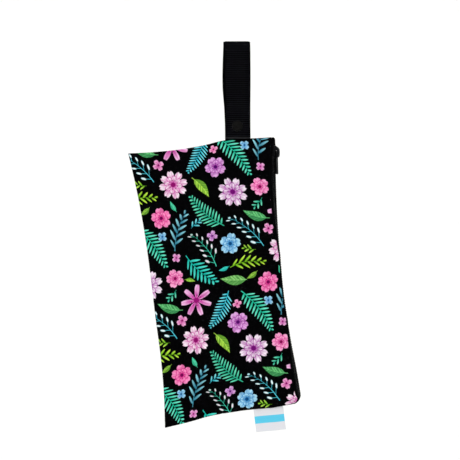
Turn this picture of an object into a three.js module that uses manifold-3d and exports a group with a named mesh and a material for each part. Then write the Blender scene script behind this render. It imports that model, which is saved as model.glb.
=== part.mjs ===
// A small zipped wet bag that hangs by a webbing strap, looped over a bar and snapped back on itself.
// Millimetres, +Z up, the front faces -Y. The origin is the inside top of the strap's loop.
import * as THREE from "three";
import { mergeVertices } from "three/addons/utils/BufferGeometryUtils.js";
import Module from "manifold-3d";

const wasm = await Module();
wasm.setup();

// Driving dimensions
const gap = 0.3; // between pieces that touch
const strap = { width: 30.5, thick: 1.6, loopRadius: 11.5, spread: 2.5, freeEnd: -109.2, sewnEnd: -121 };
const strapHang = { topShift: -0.4, footShift: 0.9, rearShift: -1.6, drawnIn: 0.05 };
const strapTurn = { lean: 7, straight: 9, ease: 30 };
const snap = { x: 0.4, z: -94.8, cap: 6.2, capRise: 1.5, post: 1.8, flange: 4.3, stud: 1.3, studLength: 0.9 };
const pouch = { wall: 1.2, tilt: 7, root: [1.1, strap.spread, -109.3], cornerTop: 4.2, cornerFoot: 12 };
const zip = { half: 7, halfAtEnds: 2.4, endFade: 14, hem: 2.6, tape: 1, tapeFromTop: 2, tapeFromFoot: 4 };
const coil = { width: 2.25, rise: 1.7, fromFoot: 9 };
const slider = { down: 19.4, half: 4, taper: 0.7, bevel: 1.2, length: 14.2, plate: 1.5, play: 0.4 };
const neck = { half: 0.9, fromMouth: 0.4, length: 2.6 };
const flange = { thick: 0.7, fromMouth: 1.6, fromTail: 1.4 };
const bridge = { half: 1.5, inner: 1.45, rise: 4.7 };
const pull = { length: 25.8, half: 3.3, bar: 1.5, window: 1.9, windowEase: 0.5, corner: 1 };
const label = { across: -3, width: 34, shows: 26, sewn: 9, thick: 1, curl: 2.2, roll: 0.5 };

// Side view of the cap over the bridge, from the slider's mouth to its tail, as shares of its rise
const bridgeCap = [
  { along: -6.6, rise: 0 },
  { along: -5.6, rise: 0.45 },
  { along: -4.1, rise: 0.76 },
  { along: -2.4, rise: 0.94 },
  { along: 0.0, rise: 1 },
  { along: 3.8, rise: 0.97 },
  { along: 5.9, rise: 0.84 },
  { along: 6.7, rise: 0.57 },
  { along: 7.0, rise: 0 },
];

// Cross-sections of the pouch, by share of its length: its side edges from the strap's root,
// how far each panel bellies out, and how far the zip's face turns from the side to the front.
const sections = [
  { down: 0.0, left: -126.4, right: 43.0, belly: 0.0, zipTurn: 14 },
  { down: 0.12, left: -122.5, right: 39.3, belly: 8.0, zipTurn: 27 },
  { down: 0.27, left: -119.4, right: 35.0, belly: 11.5, zipTurn: 22 },
  { down: 0.44, left: -118.3, right: 31.5, belly: 12.8, zipTurn: 0 },
  { down: 0.6, left: -118.5, right: 30.2, belly: 13.0, zipTurn: -5 },
  { down: 0.76, left: -118.1, right: 32.2, belly: 12.0, zipTurn: 8 },
  { down: 0.88, left: -119.6, right: 35.1, belly: 8.6, zipTurn: 24 },
  { down: 1.0, left: -122.9, right: 36.5, belly: 0.0, zipTurn: 18 },
];

// Top and bottom seams, by share of the width: the strap lifts the one, slack cloth hollows the other.
const seams = [
  { across: 0.0, top: 0.9, foot: 317.1 },
  { across: 0.18, top: 2.8, foot: 314.1 },
  { across: 0.36, top: 3.4, foot: 310.0 },
  { across: 0.54, top: 1.8, foot: 308.7 },
  { across: 0.67, top: -0.7, foot: 308.3 },
  { across: 0.82, top: 0.0, foot: 309.1 },
  { across: 1.0, top: 1.7, foot: 309.1 },
];

// Soft folds: middle and heading (0 runs across, 90 runs down), reach, and rise on each panel.
const folds = [
  { across: -34, down: 30, heading: 128, length: 34, width: 8, front: 1.3, back: 1.0 },
  { across: 20, down: 30, heading: 66, length: 28, width: 7, front: 1.1, back: 0.9 },
  { across: -4, down: 34, heading: 95, length: 40, width: 13, front: -1.7, back: -1.4 },
  { across: -88, down: 48, heading: 42, length: 44, width: 12, front: 1.5, back: 1.8 },
  { across: -78, down: 150, heading: 84, length: 70, width: 15, front: -1.3, back: 1.1 },
  { across: -14, down: 205, heading: 80, length: 62, width: 14, front: 1.2, back: -1.4 },
  { across: -90, down: 272, heading: -44, length: 38, width: 11, front: 1.4, back: 1.2 },
  { across: 4, down: 274, heading: 48, length: 34, width: 10, front: 1.3, back: 1.5 },
];

// Puckers along the zip, whose tape is shorter than the cloth sewn to it.
const puckers = { across: 20, first: 62, last: 262, count: 6, heading: 8, length: 20, width: 8, depth: 1.1 };
for (let i = 0; i < puckers.count; i++) {
  const down = puckers.first + ((puckers.last - puckers.first) * i) / (puckers.count - 1);
  const { across, heading, length, width, depth } = puckers;
  folds.push({ across, down, heading, length, width, front: -depth, back: -depth });
}

// How the cloth curves: powers of the bellying across and of its fade at the ends, how late the panel
// turns to meet the zip, and how a seam opens for what is sewn into it
const cloth = { lens: 2.2, ends: 3, foldFade: 2.5, meetsZip: 4, meetsCorner: 8 };
const seamEase = { past: 6, fade: 14, depth: 16 };

// Grid of a panel: columns across, rows down, closest together at the seams
const panelColumns = 18;
const panelRows = 34;
const hemSteps = [0.25, 0.6, 1];

const { clamp, degToRad, lerp, smoothstep } = THREE.MathUtils;
const towardsFront = new THREE.Vector3(0, -1, 0);

// A smooth curve through one column of a table
function column(rows, key, value) {
  const at = rows.map((row) => row[key]);
  const values = rows.map((row) => row[value]);
  const curve = new THREE.CubicInterpolant(at, values, 1, new Float64Array(1));
  return (x) => curve.evaluate(clamp(x, at[0], at.at(-1)))[0];
}

const leftEdge = column(sections, "down", "left");
const rightEdge = column(sections, "down", "right");
const belly = column(sections, "down", "belly");
const zipTurn = column(sections, "down", "zipTurn");
const topSeam = column(seams, "across", "top");
const footSeam = column(seams, "across", "foot");

const downAt = (u, v) => lerp(topSeam(u), footSeam(u), v);
const zipLength = footSeam(1) - topSeam(1);
const shareDown = (down) => (down - topSeam(1)) / zipLength;
const crowded = (i, n) => (1 - Math.cos((Math.PI * i) / n)) / 2;

// How far a rounded corner draws the edge in, at a distance from the corner
function cornerInset(radius, distance) {
  const rest = Math.max(0, radius - distance);
  return radius - Math.sqrt(radius * radius - rest * rest);
}

function zipEdge(v) {
  const fromTop = v * zipLength;
  const inset = cornerInset(pouch.cornerTop, fromTop) + cornerInset(pouch.cornerFoot, zipLength - fromTop);
  return new THREE.Vector3(rightEdge(v) - inset, 0, -downAt(1, v));
}

// The zip's frame at a share of its length: out of the face, across it to the front, and along it
function zipFrame(v) {
  const step = 0.004;
  const along = zipEdge(Math.min(1, v + step)).sub(zipEdge(Math.max(0, v - step))).normalize();
  const aside = new THREE.Vector3(-along.z, 0, along.x);
  const turn = degToRad(zipTurn(v));
  const out = aside.clone().multiplyScalar(Math.cos(turn)).addScaledVector(towardsFront, Math.sin(turn));
  const across = towardsFront.clone().multiplyScalar(Math.cos(turn)).addScaledVector(aside, -Math.sin(turn));
  const fromEnd = Math.min(v, 1 - v) * zipLength;
  const half = lerp(zip.halfAtEnds, zip.half, smoothstep(fromEnd, 0, zip.endFade));
  const hem = (zip.hem * half) / zip.half;
  const origin = zipEdge(v).addScaledVector(aside, -half * Math.abs(Math.sin(turn)));
  return { origin, out, across, along, half, hem };
}

function zipPoint(frame, across, out) {
  return frame.origin.clone().addScaledVector(frame.across, across).addScaledVector(frame.out, out);
}

function foldRise(panel, x, down) {
  let rise = 0;
  for (const fold of folds) {
    const heading = degToRad(fold.heading);
    const dx = x - fold.across;
    const dz = down - fold.down;
    const along = (dx * Math.cos(heading) + dz * Math.sin(heading)) / fold.length;
    const over = (dz * Math.cos(heading) - dx * Math.sin(heading)) / fold.width;
    rise += fold[panel] * Math.exp(-along * along - over * over);
  }
  return rise;
}

// Room in a seam for what is sewn into it: full over its own width, gone a little way past it
function seamRoom(thick, halfWidth, aside, fromSeam) {
  const fullTo = halfWidth + seamEase.past;
  const sideways = 1 - smoothstep(Math.abs(aside), fullTo, fullTo + seamEase.fade);
  return (thick / 2 + gap / 2) * sideways * (1 - smoothstep(fromSeam, 1, seamEase.depth));
}

// Middle of a panel's wall; side is 1 for the front panel and -1 for the back one
function panelPoint(side, u, v) {
  const frame = zipFrame(v);
  const end = zipPoint(frame, side * frame.half, -pouch.wall);
  const x = lerp(leftEdge(v), end.x, u);
  const down = lerp(downAt(u, v), -end.z, u ** cloth.meetsCorner);
  const lens = 1 - Math.abs(2 * u - 1) ** cloth.lens;
  const fade = Math.min(1, cloth.foldFade * lens * (1 - Math.abs(2 * v - 1) ** cloth.ends));
  const fold = foldRise(side > 0 ? "front" : "back", x, down);
  const strapRoom = seamRoom(strap.thick, strap.width / 2, x, v * zipLength);
  const labelRoom = seamRoom(label.thick, label.width / 2, x - label.across, (1 - v) * zipLength);
  const inner = gap / 2 + belly(v) * lens + fold * fade + strapRoom + labelRoom;
  const free = -side * (inner + pouch.wall / 2);
  const bare = -side * (gap / 2 + pouch.wall / 2);
  return new THREE.Vector3(x, free + (end.y - bare) * u ** cloth.meetsZip, -down);
}

// Closed wall of even thickness about a grid of middle points, out along each point's normal
function wallAbout(points, thick) {
  const rows = points.length;
  const columns = points[0].length;
  const positions = [];
  for (const side of [1, -1])
    for (let j = 0; j < rows; j++)
      for (let i = 0; i < columns; i++) {
        const overAcross = points[j][Math.min(i + 1, columns - 1)].clone().sub(points[j][Math.max(i - 1, 0)]);
        const overDown = points[Math.min(j + 1, rows - 1)][i].clone().sub(points[Math.max(j - 1, 0)][i]);
        const normal = overDown.cross(overAcross).normalize();
        positions.push(...points[j][i].clone().addScaledVector(normal, (side * thick) / 2));
      }
  const index = [];
  const quad = (a, b, c, d) => index.push(a, b, c, a, c, d);
  const under = rows * columns;
  for (let j = 0; j + 1 < rows; j++)
    for (let i = 0; i + 1 < columns; i++) {
      const a = j * columns + i;
      quad(a, a + columns, a + columns + 1, a + 1);
      quad(under + a, under + a + 1, under + a + columns + 1, under + a + columns);
    }
  const rim = [];
  for (let i = 0; i + 1 < columns; i++) rim.push(i);
  for (let j = 0; j + 1 < rows; j++) rim.push(j * columns + columns - 1);
  for (let i = columns - 1; i > 0; i--) rim.push((rows - 1) * columns + i);
  for (let j = rows - 1; j > 0; j--) rim.push(j * columns);
  rim.forEach((a, k) => {
    const b = rim[(k + 1) % rim.length];
    quad(a, b, under + b, under + a);
  });
  const geometry = new THREE.BufferGeometry();
  geometry.setAttribute("position", new THREE.Float32BufferAttribute(positions, 3));
  geometry.setIndex(index);
  geometry.computeVertexNormals();
  return geometry;
}

// A panel runs from the left seam to the zip, turns there and is hemmed down over the tape.
function panelWall(side) {
  const points = [];
  for (let j = 0; j <= panelRows; j++) {
    const v = crowded(j, panelRows);
    const frame = zipFrame(v);
    const row = [];
    for (let i = 0; i <= panelColumns; i++) row.push(panelPoint(side, crowded(i, panelColumns), v));
    for (const step of hemSteps)
      row.push(zipPoint(frame, side * (frame.half - frame.hem * step), -pouch.wall / 2));
    points.push(side > 0 ? row : row.reverse());
  }
  return wallAbout(points, pouch.wall);
}

// Heights out of the zip's face: the tape lies under the hems and the coil on the tape.
const tapeFace = -(pouch.wall + gap);
const tapeBack = tapeFace - zip.tape;
const coilFoot = tapeFace + gap;
const coilTop = coilFoot + coil.rise;
const plateFoot = coilTop + gap;
const plateTop = plateFoot + slider.plate;
const pivotHeight = plateTop + gap + pull.bar / 2;

// The tape halves part where the slider's neck passes between them.
function tapeWall(side) {
  const parted = slider.down + slider.length / 2;
  const points = [];
  const first = zip.tapeFromTop / zipLength;
  const last = 1 - zip.tapeFromFoot / zipLength;
  for (let j = 0; j <= panelRows; j++) {
    const v = lerp(first, last, crowded(j, panelRows));
    const frame = zipFrame(v);
    const inner = lerp(neck.half + gap, gap / 2, smoothstep(downAt(1, v), parted, parted + zip.half));
    const outer = frame.half - pouch.wall - gap;
    const row = [inner, (inner + outer) / 2, outer].map((across) =>
      zipPoint(frame, side * across, tapeFace - zip.tape / 2),
    );
    points.push(side > 0 ? row.reverse() : row);
  }
  return wallAbout(points, zip.tape);
}

// One side's row of coil, as a half-round bead from the slider's neck to the foot of the zip
function coilBead(side) {
  const sides = 7;
  const rows = 30;
  const neckEnd = slider.down - slider.length / 2 + neck.fromMouth + neck.length;
  const first = shareDown(neckEnd + gap);
  const last = 1 - coil.fromFoot / zipLength;
  const positions = [];
  for (let j = 0; j <= rows; j++) {
    const frame = zipFrame(lerp(first, last, j / rows));
    for (let k = 0; k < sides; k++) {
      const angle = (Math.PI * k) / (sides - 1);
      const across = gap / 2 + (coil.width * (1 - Math.cos(angle))) / 2;
      positions.push(...zipPoint(frame, side * across, coilFoot + coil.rise * Math.sin(angle)));
    }
  }
  const index = [];
  for (let j = 0; j < rows; j++)
    for (let k = 0; k < sides; k++) {
      const a = j * sides + k;
      const b = j * sides + ((k + 1) % sides);
      index.push(a, b, b + sides, a, b + sides, a + sides);
    }
  const foot = rows * sides;
  for (let k = 1; k + 1 < sides; k++) {
    index.push(0, k + 1, k);
    index.push(foot, foot + k, foot + k + 1);
  }
  if (side < 0) index.reverse();
  const geometry = new THREE.BufferGeometry();
  geometry.setAttribute("position", new THREE.Float32BufferAttribute(positions, 3));
  geometry.setIndex(index);
  geometry.computeVertexNormals();
  return geometry;
}

function toSolid(geometry) {
  const bare = geometry.clone();
  bare.deleteAttribute("normal");
  bare.deleteAttribute("uv");
  const merged = mergeVertices(bare);
  const triVerts = new Uint32Array(merged.index.array);
  const vertProperties = merged.attributes.position.array;
  return new wasm.Manifold(new wasm.Mesh({ numProp: 3, vertProperties, triVerts }));
}

function toGeometry(solid) {
  const { vertProperties, triVerts } = solid.getMesh();
  const geometry = new THREE.BufferGeometry();
  geometry.setAttribute("position", new THREE.BufferAttribute(vertProperties, 3));
  geometry.setIndex(new THREE.BufferAttribute(triVerts, 1));
  geometry.computeVertexNormals();
  return geometry;
}

function joined(...geometries) {
  return toGeometry(geometries.map(toSolid).reduce((sum, solid) => sum.add(solid)));
}

function block(low, high) {
  const size = high.map((value, k) => value - low[k]);
  const middle = high.map((value, k) => (value + low[k]) / 2);
  return new THREE.BoxGeometry(...size).translate(...middle);
}

// Slider plate, wider at its mouth than at its tail; x across the zip, y along it, z out of its face
function sliderPlate(low, high) {
  const { half: mouth, bevel } = slider;
  const tail = mouth - slider.taper;
  const end = slider.length / 2;
  const outline = new THREE.Shape([
    new THREE.Vector2(-mouth + bevel, -end),
    new THREE.Vector2(mouth - bevel, -end),
    new THREE.Vector2(mouth, -end + bevel),
    new THREE.Vector2(tail, end - bevel),
    new THREE.Vector2(tail - bevel, end),
    new THREE.Vector2(-tail + bevel, end),
    new THREE.Vector2(-tail, end - bevel),
    new THREE.Vector2(-mouth, -end + bevel),
  ]);
  return new THREE.ExtrudeGeometry(outline, { depth: high - low, bevelEnabled: false }).translate(0, 0, low);
}

// Cap swept across the zip, with an opening in which the pull's bar turns
function bridgeBody() {
  const { half, inner, rise } = bridge;
  const foot = plateTop - slider.plate / 2;
  const under = pivotHeight + pull.bar / 2 + gap;
  const outline = new THREE.Shape([
    new THREE.Vector2(foot, bridgeCap[0].along),
    ...bridgeCap.map((point) => new THREE.Vector2(plateTop + rise * point.rise, point.along)),
    new THREE.Vector2(foot, bridgeCap.at(-1).along),
  ]);
  const swept = new THREE.ExtrudeGeometry(outline, { depth: 2 * half, bevelEnabled: false });
  swept.translate(0, 0, -half).rotateY(-Math.PI / 2);
  const opening = block([-2 * half, -inner, plateTop - slider.plate / 4], [2 * half, inner, under]);
  return toGeometry(toSolid(swept).subtract(toSolid(opening)));
}

// Two plates held by a neck, side flanges that keep the coil in line, and a bridge for the pull
function sliderBody() {
  const end = slider.length / 2;
  const sink = plateTop - slider.plate / 2;
  const backTop = tapeBack - gap - slider.play;
  const neckTop = -end + neck.fromMouth;
  const tail = slider.half - slider.taper;
  const flangeFoot = tapeFace + gap + slider.play;
  const pieces = [
    sliderPlate(plateFoot, plateTop),
    sliderPlate(backTop - slider.plate, backTop),
    block([-neck.half, neckTop, backTop - slider.plate / 2], [neck.half, neckTop + neck.length, sink]),
    bridgeBody(),
  ];
  for (const side of [-1, 1]) {
    const [low, high] = [side * tail, side * (tail - flange.thick)].sort((a, b) => a - b);
    pieces.push(block([low, -end + flange.fromMouth, flangeFoot], [high, end - flange.fromTail, sink]));
  }
  return joined(...pieces);
}

// Flat tab with a window, whose top bar turns under the slider's bridge
function pullTab() {
  const { half, length, bar, window, corner } = pull;
  const top = -bar / 2;
  const outline = new THREE.Shape();
  outline.moveTo(-half + corner, top);
  outline.lineTo(half - corner, top);
  outline.lineTo(half, top + corner);
  outline.lineTo(half, length - corner);
  outline.lineTo(half - corner, length);
  outline.lineTo(-half + corner, length);
  outline.lineTo(-half, length - corner);
  outline.lineTo(-half, top + corner);
  outline.closePath();
  const foot = bridgeCap.at(-1).along + pull.windowEase;
  const opening = new THREE.Path();
  opening.moveTo(-window, bar / 2);
  opening.lineTo(-window, foot);
  opening.lineTo(window, foot);
  opening.lineTo(window, bar / 2);
  opening.closePath();
  outline.holes.push(opening);
  return new THREE.ExtrudeGeometry(outline, { depth: bar, bevelEnabled: false }).translate(0, 0, top);
}

// Side view of the strap's middle line: up from the seam, over the bar and down to the free end
function strapLine() {
  const { loopRadius, thick, spread, sewnEnd, freeEnd } = strap;
  const radius = loopRadius + thick / 2;
  const straightTo = snap.z + strapTurn.straight;
  const lean = degToRad(strapTurn.lean);
  const turn = new THREE.Vector2(radius * Math.cos(lean), -loopRadius - radius * Math.sin(lean));
  const reach = strapTurn.ease;
  const near = new THREE.Vector2(turn.x - reach * Math.sin(lean), turn.y - reach * Math.cos(lean));
  const line = new THREE.Path();
  line.moveTo(spread, sewnEnd);
  line.lineTo(spread, straightTo);
  line.bezierCurveTo(spread, straightTo + reach, near.x, near.y, turn.x, turn.y);
  line.absarc(0, -loopRadius, radius, -lean, Math.PI + lean, false);
  line.bezierCurveTo(-near.x, near.y, -spread, straightTo + reach, -spread, straightTo);
  line.lineTo(-spread, freeEnd);
  return line;
}

// The strap leans a little, cups narrower at the snap, and its rear run stands out on the left.
function strapAcross(x, y, z) {
  const lean = lerp(strapHang.topShift, strapHang.footShift, clamp(z / strap.freeEnd, 0, 1));
  const rear = smoothstep(y, 0, strap.loopRadius / 2) * Math.sin(Math.PI * clamp(z / snap.z, 0, 1));
  const narrowed = 1 - strapHang.drawnIn * smoothstep(-z, strap.width, -snap.z);
  return x * narrowed + lean + strapHang.rearShift * rear;
}

function strapLoop() {
  const steps = 13;
  const apart = (p, k, all) => k === 0 || p.distanceTo(all[k - 1]) > gap / 10;
  const middle = strapLine().getPoints(steps).filter(apart);
  const offset = (side) =>
    middle.map((p, k) => {
      const before = middle[Math.max(k - 1, 0)];
      const after = middle[Math.min(k + 1, middle.length - 1)];
      const run = after.clone().sub(before).setLength((side * strap.thick) / 2);
      return new THREE.Vector2(p.x - run.y, p.y + run.x);
    });
  const outline = new THREE.Shape([...offset(1), ...offset(-1).reverse()]);
  const ribbon = new THREE.ExtrudeGeometry(outline, { depth: strap.width, bevelEnabled: false });
  ribbon.translate(0, 0, -strap.width / 2).rotateX(Math.PI / 2).rotateZ(Math.PI / 2);
  const points = ribbon.attributes.position;
  for (let k = 0; k < points.count; k++)
    points.setX(k, strapAcross(points.getX(k), points.getY(k), points.getZ(k)));
  const hole = new THREE.CylinderGeometry(snap.post + gap, snap.post + gap, strap.width, 16);
  hole.translate(snap.x, 0, snap.z);
  return toGeometry(toSolid(ribbon).subtract(toSolid(hole)));
}

// Snap heights from the middle between the strap's two runs
const runInside = strap.spread - strap.thick / 2;
const runOutside = strap.spread + strap.thick / 2;

// Outside of the cap, as shares of its radius and rise
const capCurve = [
  { radius: 1, rise: 0.33 },
  { radius: 0.95, rise: 0.55 },
  { radius: 0.82, rise: 0.8 },
  { radius: 0.5, rise: 0.98 },
  { radius: 0, rise: 1 },
];

// Cap, post and flange turned about the snap's axis; core is the profile of the face that mates
function snapHalf(core) {
  const capFoot = runOutside + gap;
  const profile = [
    ...core,
    [snap.flange, runInside - gap],
    [snap.post, runInside - gap],
    [snap.post, capFoot],
    [snap.cap, capFoot],
    ...capCurve.map(({ radius, rise }) => [snap.cap * radius, capFoot + snap.capRise * rise]),
  ];
  return new THREE.LatheGeometry(profile.map(([radius, y]) => new THREE.Vector2(radius, y)), 28);
}

// The socket's flange reaches to the middle and is hollowed for the stud.
const socketCore = [
  [0, snap.studLength + gap],
  [snap.stud + gap, snap.studLength + gap],
  [snap.stud + gap, gap / 2],
  [snap.flange, gap / 2],
];
const studCore = [
  [0, -snap.studLength],
  [snap.stud, -snap.studLength],
  [snap.stud, gap / 2],
  [snap.flange, gap / 2],
];

// Folded ribbon caught in the bottom seam, curling a little to the front below it
function labelRibbon() {
  const length = label.shows + label.sewn;
  const geometry = new THREE.BoxGeometry(label.width, label.thick, length, 6, 1, 9);
  const points = geometry.attributes.position;
  for (let k = 0; k < points.count; k++) {
    const x = points.getX(k) + label.across;
    const below = length / 2 - points.getZ(k) - label.sewn;
    const curl = label.curl * (Math.max(0, below) / label.shows) ** 2;
    const crown = 1 - ((2 * points.getX(k)) / label.width) ** 2;
    const roll = label.roll * crown * smoothstep(below, 0, label.shows);
    const u = (x - leftEdge(1)) / (rightEdge(1) - leftEdge(1));
    points.setXYZ(k, x, points.getY(k) - curl - roll, -footSeam(u) - below);
  }
  return geometry;
}

const finishes = {
  printedCloth: { color: 0x14110f, roughness: 0.62, metalness: 0 },
  zipTape: { color: 0x0c0c0d, roughness: 0.85, metalness: 0 },
  zipCoil: { color: 0x101011, roughness: 0.4, metalness: 0 },
  zipMetal: { color: 0x111112, roughness: 0.35, metalness: 0.6 },
  webbing: { color: 0x0b0b0d, roughness: 0.8, metalness: 0 },
  snapPlastic: { color: 0x151512, roughness: 0.35, metalness: 0 },
  labelRibbon: { color: 0xf2f2ee, roughness: 0.7, metalness: 0 },
};

function piece(name, geometry, finish) {
  const mesh = new THREE.Mesh(geometry, new THREE.MeshStandardMaterial(finishes[finish]));
  mesh.name = name;
  return mesh;
}

// Slider and pull share the zip's frame where the slider stands.
function sliderGroup() {
  const frame = zipFrame(shareDown(slider.down));
  const basis = new THREE.Matrix4().makeBasis(frame.across, frame.along, frame.out);
  const group = new THREE.Group();
  group.position.copy(frame.origin);
  group.quaternion.setFromRotationMatrix(basis);
  const tab = piece("zip_pull", pullTab(), "zipMetal");
  tab.position.z = pivotHeight;
  group.add(piece("zip_slider", sliderBody(), "zipMetal"), tab);
  return group;
}

const pouchGroup = new THREE.Group();
pouchGroup.position.set(...pouch.root);
pouchGroup.rotation.y = -degToRad(pouch.tilt);
pouchGroup.add(
  piece("bag_front", panelWall(1), "printedCloth"),
  piece("bag_back", panelWall(-1), "printedCloth"),
  piece("zip_tape_front", tapeWall(1), "zipTape"),
  piece("zip_tape_back", tapeWall(-1), "zipTape"),
  piece("zip_coil_front", coilBead(1), "zipCoil"),
  piece("zip_coil_back", coilBead(-1), "zipCoil"),
  sliderGroup(),
  piece("label", labelRibbon(), "labelRibbon"),
);

const socket = piece("snap_socket", snapHalf(socketCore), "snapPlastic");
socket.rotation.z = Math.PI;
const stud = piece("snap_stud", snapHalf(studCore), "snapPlastic");
const snapGroup = new THREE.Group();
snapGroup.position.set(snap.x, 0, snap.z);
snapGroup.add(socket, stud);

const bag = new THREE.Group();
bag.add(piece("strap", strapLoop(), "webbing"), snapGroup, pouchGroup);

export default bag;
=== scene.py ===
# A zipped wet bag that hangs by a black webbing strap, snapped back on itself.
# The shapes are worked out in millimetres, in the part's own frame, and turned to metres when a mesh is made.
import ast
import math
import textwrap

import bmesh
import bpy
import numpy as np
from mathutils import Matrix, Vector


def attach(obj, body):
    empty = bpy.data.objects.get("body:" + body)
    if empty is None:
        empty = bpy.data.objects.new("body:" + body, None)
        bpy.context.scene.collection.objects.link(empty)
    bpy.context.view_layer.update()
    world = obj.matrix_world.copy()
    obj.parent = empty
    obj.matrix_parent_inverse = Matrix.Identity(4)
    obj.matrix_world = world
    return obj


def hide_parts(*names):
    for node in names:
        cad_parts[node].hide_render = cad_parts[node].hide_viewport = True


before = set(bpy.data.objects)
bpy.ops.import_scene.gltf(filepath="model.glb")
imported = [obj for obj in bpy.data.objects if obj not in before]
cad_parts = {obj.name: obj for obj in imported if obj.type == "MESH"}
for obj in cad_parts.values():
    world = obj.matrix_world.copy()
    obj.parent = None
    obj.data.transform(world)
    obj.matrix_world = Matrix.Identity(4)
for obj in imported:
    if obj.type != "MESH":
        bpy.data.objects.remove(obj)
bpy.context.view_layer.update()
mm = 0.001
gap = 0.3  # between pieces that touch
print("frame loaded:", len(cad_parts), "nodes")


def colour(code):
    parts = [int(code[k : k + 2], 16) / 255 for k in (0, 2, 4)]
    return [c / 12.92 if c <= 0.04045 else ((c + 0.055) / 1.055) ** 2.4 for c in parts] + [1.0]


# Sets a node's inputs, or links them
def fed(tree, node, inputs):
    for key, value in inputs.items():
        if isinstance(value, bpy.types.NodeSocket):
            tree.links.new(value, node.inputs[key])
        else:
            node.inputs[key].default_value = value
    return node


def addNode(tree, kind, inputs=None, **settings):
    node = tree.nodes.new(kind)
    for name, value in settings.items():
        setattr(node, name, value)
    return fed(tree, node, inputs or {})


mathKinds = {
    "Add": "ADD", "Sub": "SUBTRACT", "Mult": "MULTIPLY", "Div": "DIVIDE", "Pow": "POWER",
    "sin": "SINE", "cos": "COSINE", "atan2": "ARCTAN2", "sqrt": "SQRT", "abs": "ABSOLUTE",
    "floor": "FLOOR",
    "min": "MINIMUM", "max": "MAXIMUM", "above": "GREATER_THAN",
}


# Arithmetic written out as Math nodes, one named line after another; smooth(x, low, high) is a smooth step
def formulas(tree, known, text):
    known = dict(known, pi=math.pi)

    def built(part):
        if isinstance(part, ast.Constant):
            return part.value
        if isinstance(part, ast.Name):
            return known[part.id]
        if isinstance(part, ast.UnaryOp):
            name, parts = "Sub", [ast.Constant(0.0), part.operand]
        elif isinstance(part, ast.BinOp):
            name, parts = type(part.op).__name__, [part.left, part.right]
        else:
            name, parts = part.func.id, part.args
        values = dict(enumerate(built(p) for p in parts))
        if name == "smooth":
            return addNode(tree, "ShaderNodeMapRange", values, interpolation_type="SMOOTHSTEP").outputs[0]
        return addNode(tree, "ShaderNodeMath", values, operation=mathKinds[name]).outputs[0]

    for line in ast.parse(textwrap.dedent(text)).body:
        known[line.targets[0].id] = built(line.value)
    return known


def newTree(name, kind, inputs, outputs):
    tree = bpy.data.node_groups.new(name, kind)
    for side, sockets in (("INPUT", inputs), ("OUTPUT", outputs)):
        for label, socketKind in sockets.items():
            tree.interface.new_socket(name=label, in_out=side, socket_type="NodeSocket" + socketKind)
    given = {socket.name: socket for socket in addNode(tree, "NodeGroupInput").outputs if socket.name}
    return tree, given


# Runs a Geometry Nodes tree on a piece and keeps the result as its plain mesh
def grown(piece, tree, **values):
    modifier = piece.modifiers.new(tree.name, "NODES")
    modifier.node_group = tree
    for item in tree.interface.items_tree:
        if item.in_out == "INPUT" and item.name in values:
            modifier[item.identifier] = values[item.name]
    depsgraph = bpy.context.evaluated_depsgraph_get()
    mesh = bpy.data.meshes.new_from_object(piece.evaluated_get(depsgraph), depsgraph=depsgraph)
    piece.modifiers.remove(modifier)
    mesh.name = piece.name
    piece.data = mesh
    return piece


def newMaterial(name, **values):
    mat = bpy.data.materials.new(name)
    mat.use_nodes = True
    shader = mat.node_tree.nodes["Principled BSDF"]
    fed(mat.node_tree, shader, {key.replace("_", " "): value for key, value in values.items()})
    return mat, mat.node_tree, shader


# A point's place in millimetres, on a UV map or else through the piece, with an uneven grain of a given size
def patternAt(tree, grain, detail=2.0, uvMap=None):
    if uvMap:
        where = addNode(tree, "ShaderNodeUVMap", uv_map=uvMap).outputs[0]
    else:
        where = addNode(tree, "ShaderNodeTexCoord").outputs["Object"]
    flat = addNode(tree, "ShaderNodeVectorMath", {0: where, "Scale": 1 / mm}, operation="SCALE").outputs[0]
    noise = {"Vector": flat, "Scale": 1 / grain, "Detail": detail}
    uneven = addNode(tree, "ShaderNodeTexNoise", noise).outputs[0]
    x, y, z = addNode(tree, "ShaderNodeSeparateXYZ", {0: flat}).outputs
    return dict(x=x, y=y, uneven=uneven)


# Colour in layers, each laid over the last by a named share. A layer is a colour's code, the name of a value,
# a socket, or layers again.
def painted(tree, found, layers):
    if isinstance(layers, str):
        return found[layers] if layers in found else colour(layers)
    if not isinstance(layers, list):
        return layers
    result = painted(tree, found, layers[0])
    for share, over in layers[1:]:
        tones = {0: found[share], 6: result, 7: painted(tree, found, over)}
        result = addNode(tree, "ShaderNodeMix", tones, data_type="RGBA").outputs[2]
    return result


# Finish of a material: its layers of colour, and from its formulas the roughness and any fine relief
def finished(tree, shader, found, layers, strength=0, depth=0):
    linked = {"Base Color": painted(tree, found, layers), "Roughness": found["rough"]}
    if strength:
        bumps = {"Height": found["relief"], "Strength": strength, "Distance": depth * mm}
        linked["Normal"] = addNode(tree, "ShaderNodeBump", bumps).outputs[0]
    fed(tree, shader, linked)


# Mesh of a piece from points in millimetres, smooth-shaded, with any UV maps given per face corner
def newPiece(name, points, faces, mat, uvMaps=None):
    mesh = bpy.data.meshes.new(name)
    places = np.asarray(points, float).reshape(-1, 3) * mm
    mesh.from_pydata(places.tolist(), [], [list(map(int, face)) for face in faces])
    for mapName, corners in (uvMaps or {}).items():
        mesh.uv_layers.new(name=mapName).data.foreach_set("uv", np.asarray(corners, np.float32).ravel())
    mesh.polygons.foreach_set("use_smooth", [True] * len(mesh.polygons))
    mesh.update()
    piece = bpy.data.objects.new(name, mesh)
    bpy.context.scene.collection.objects.link(piece)
    mesh.materials.append(mat)
    return piece


def addValues(piece, name, values):
    layer = piece.data.attributes.new(name, "FLOAT", "POINT")
    layer.data.foreach_set("value", values.astype(np.float32))


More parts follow.
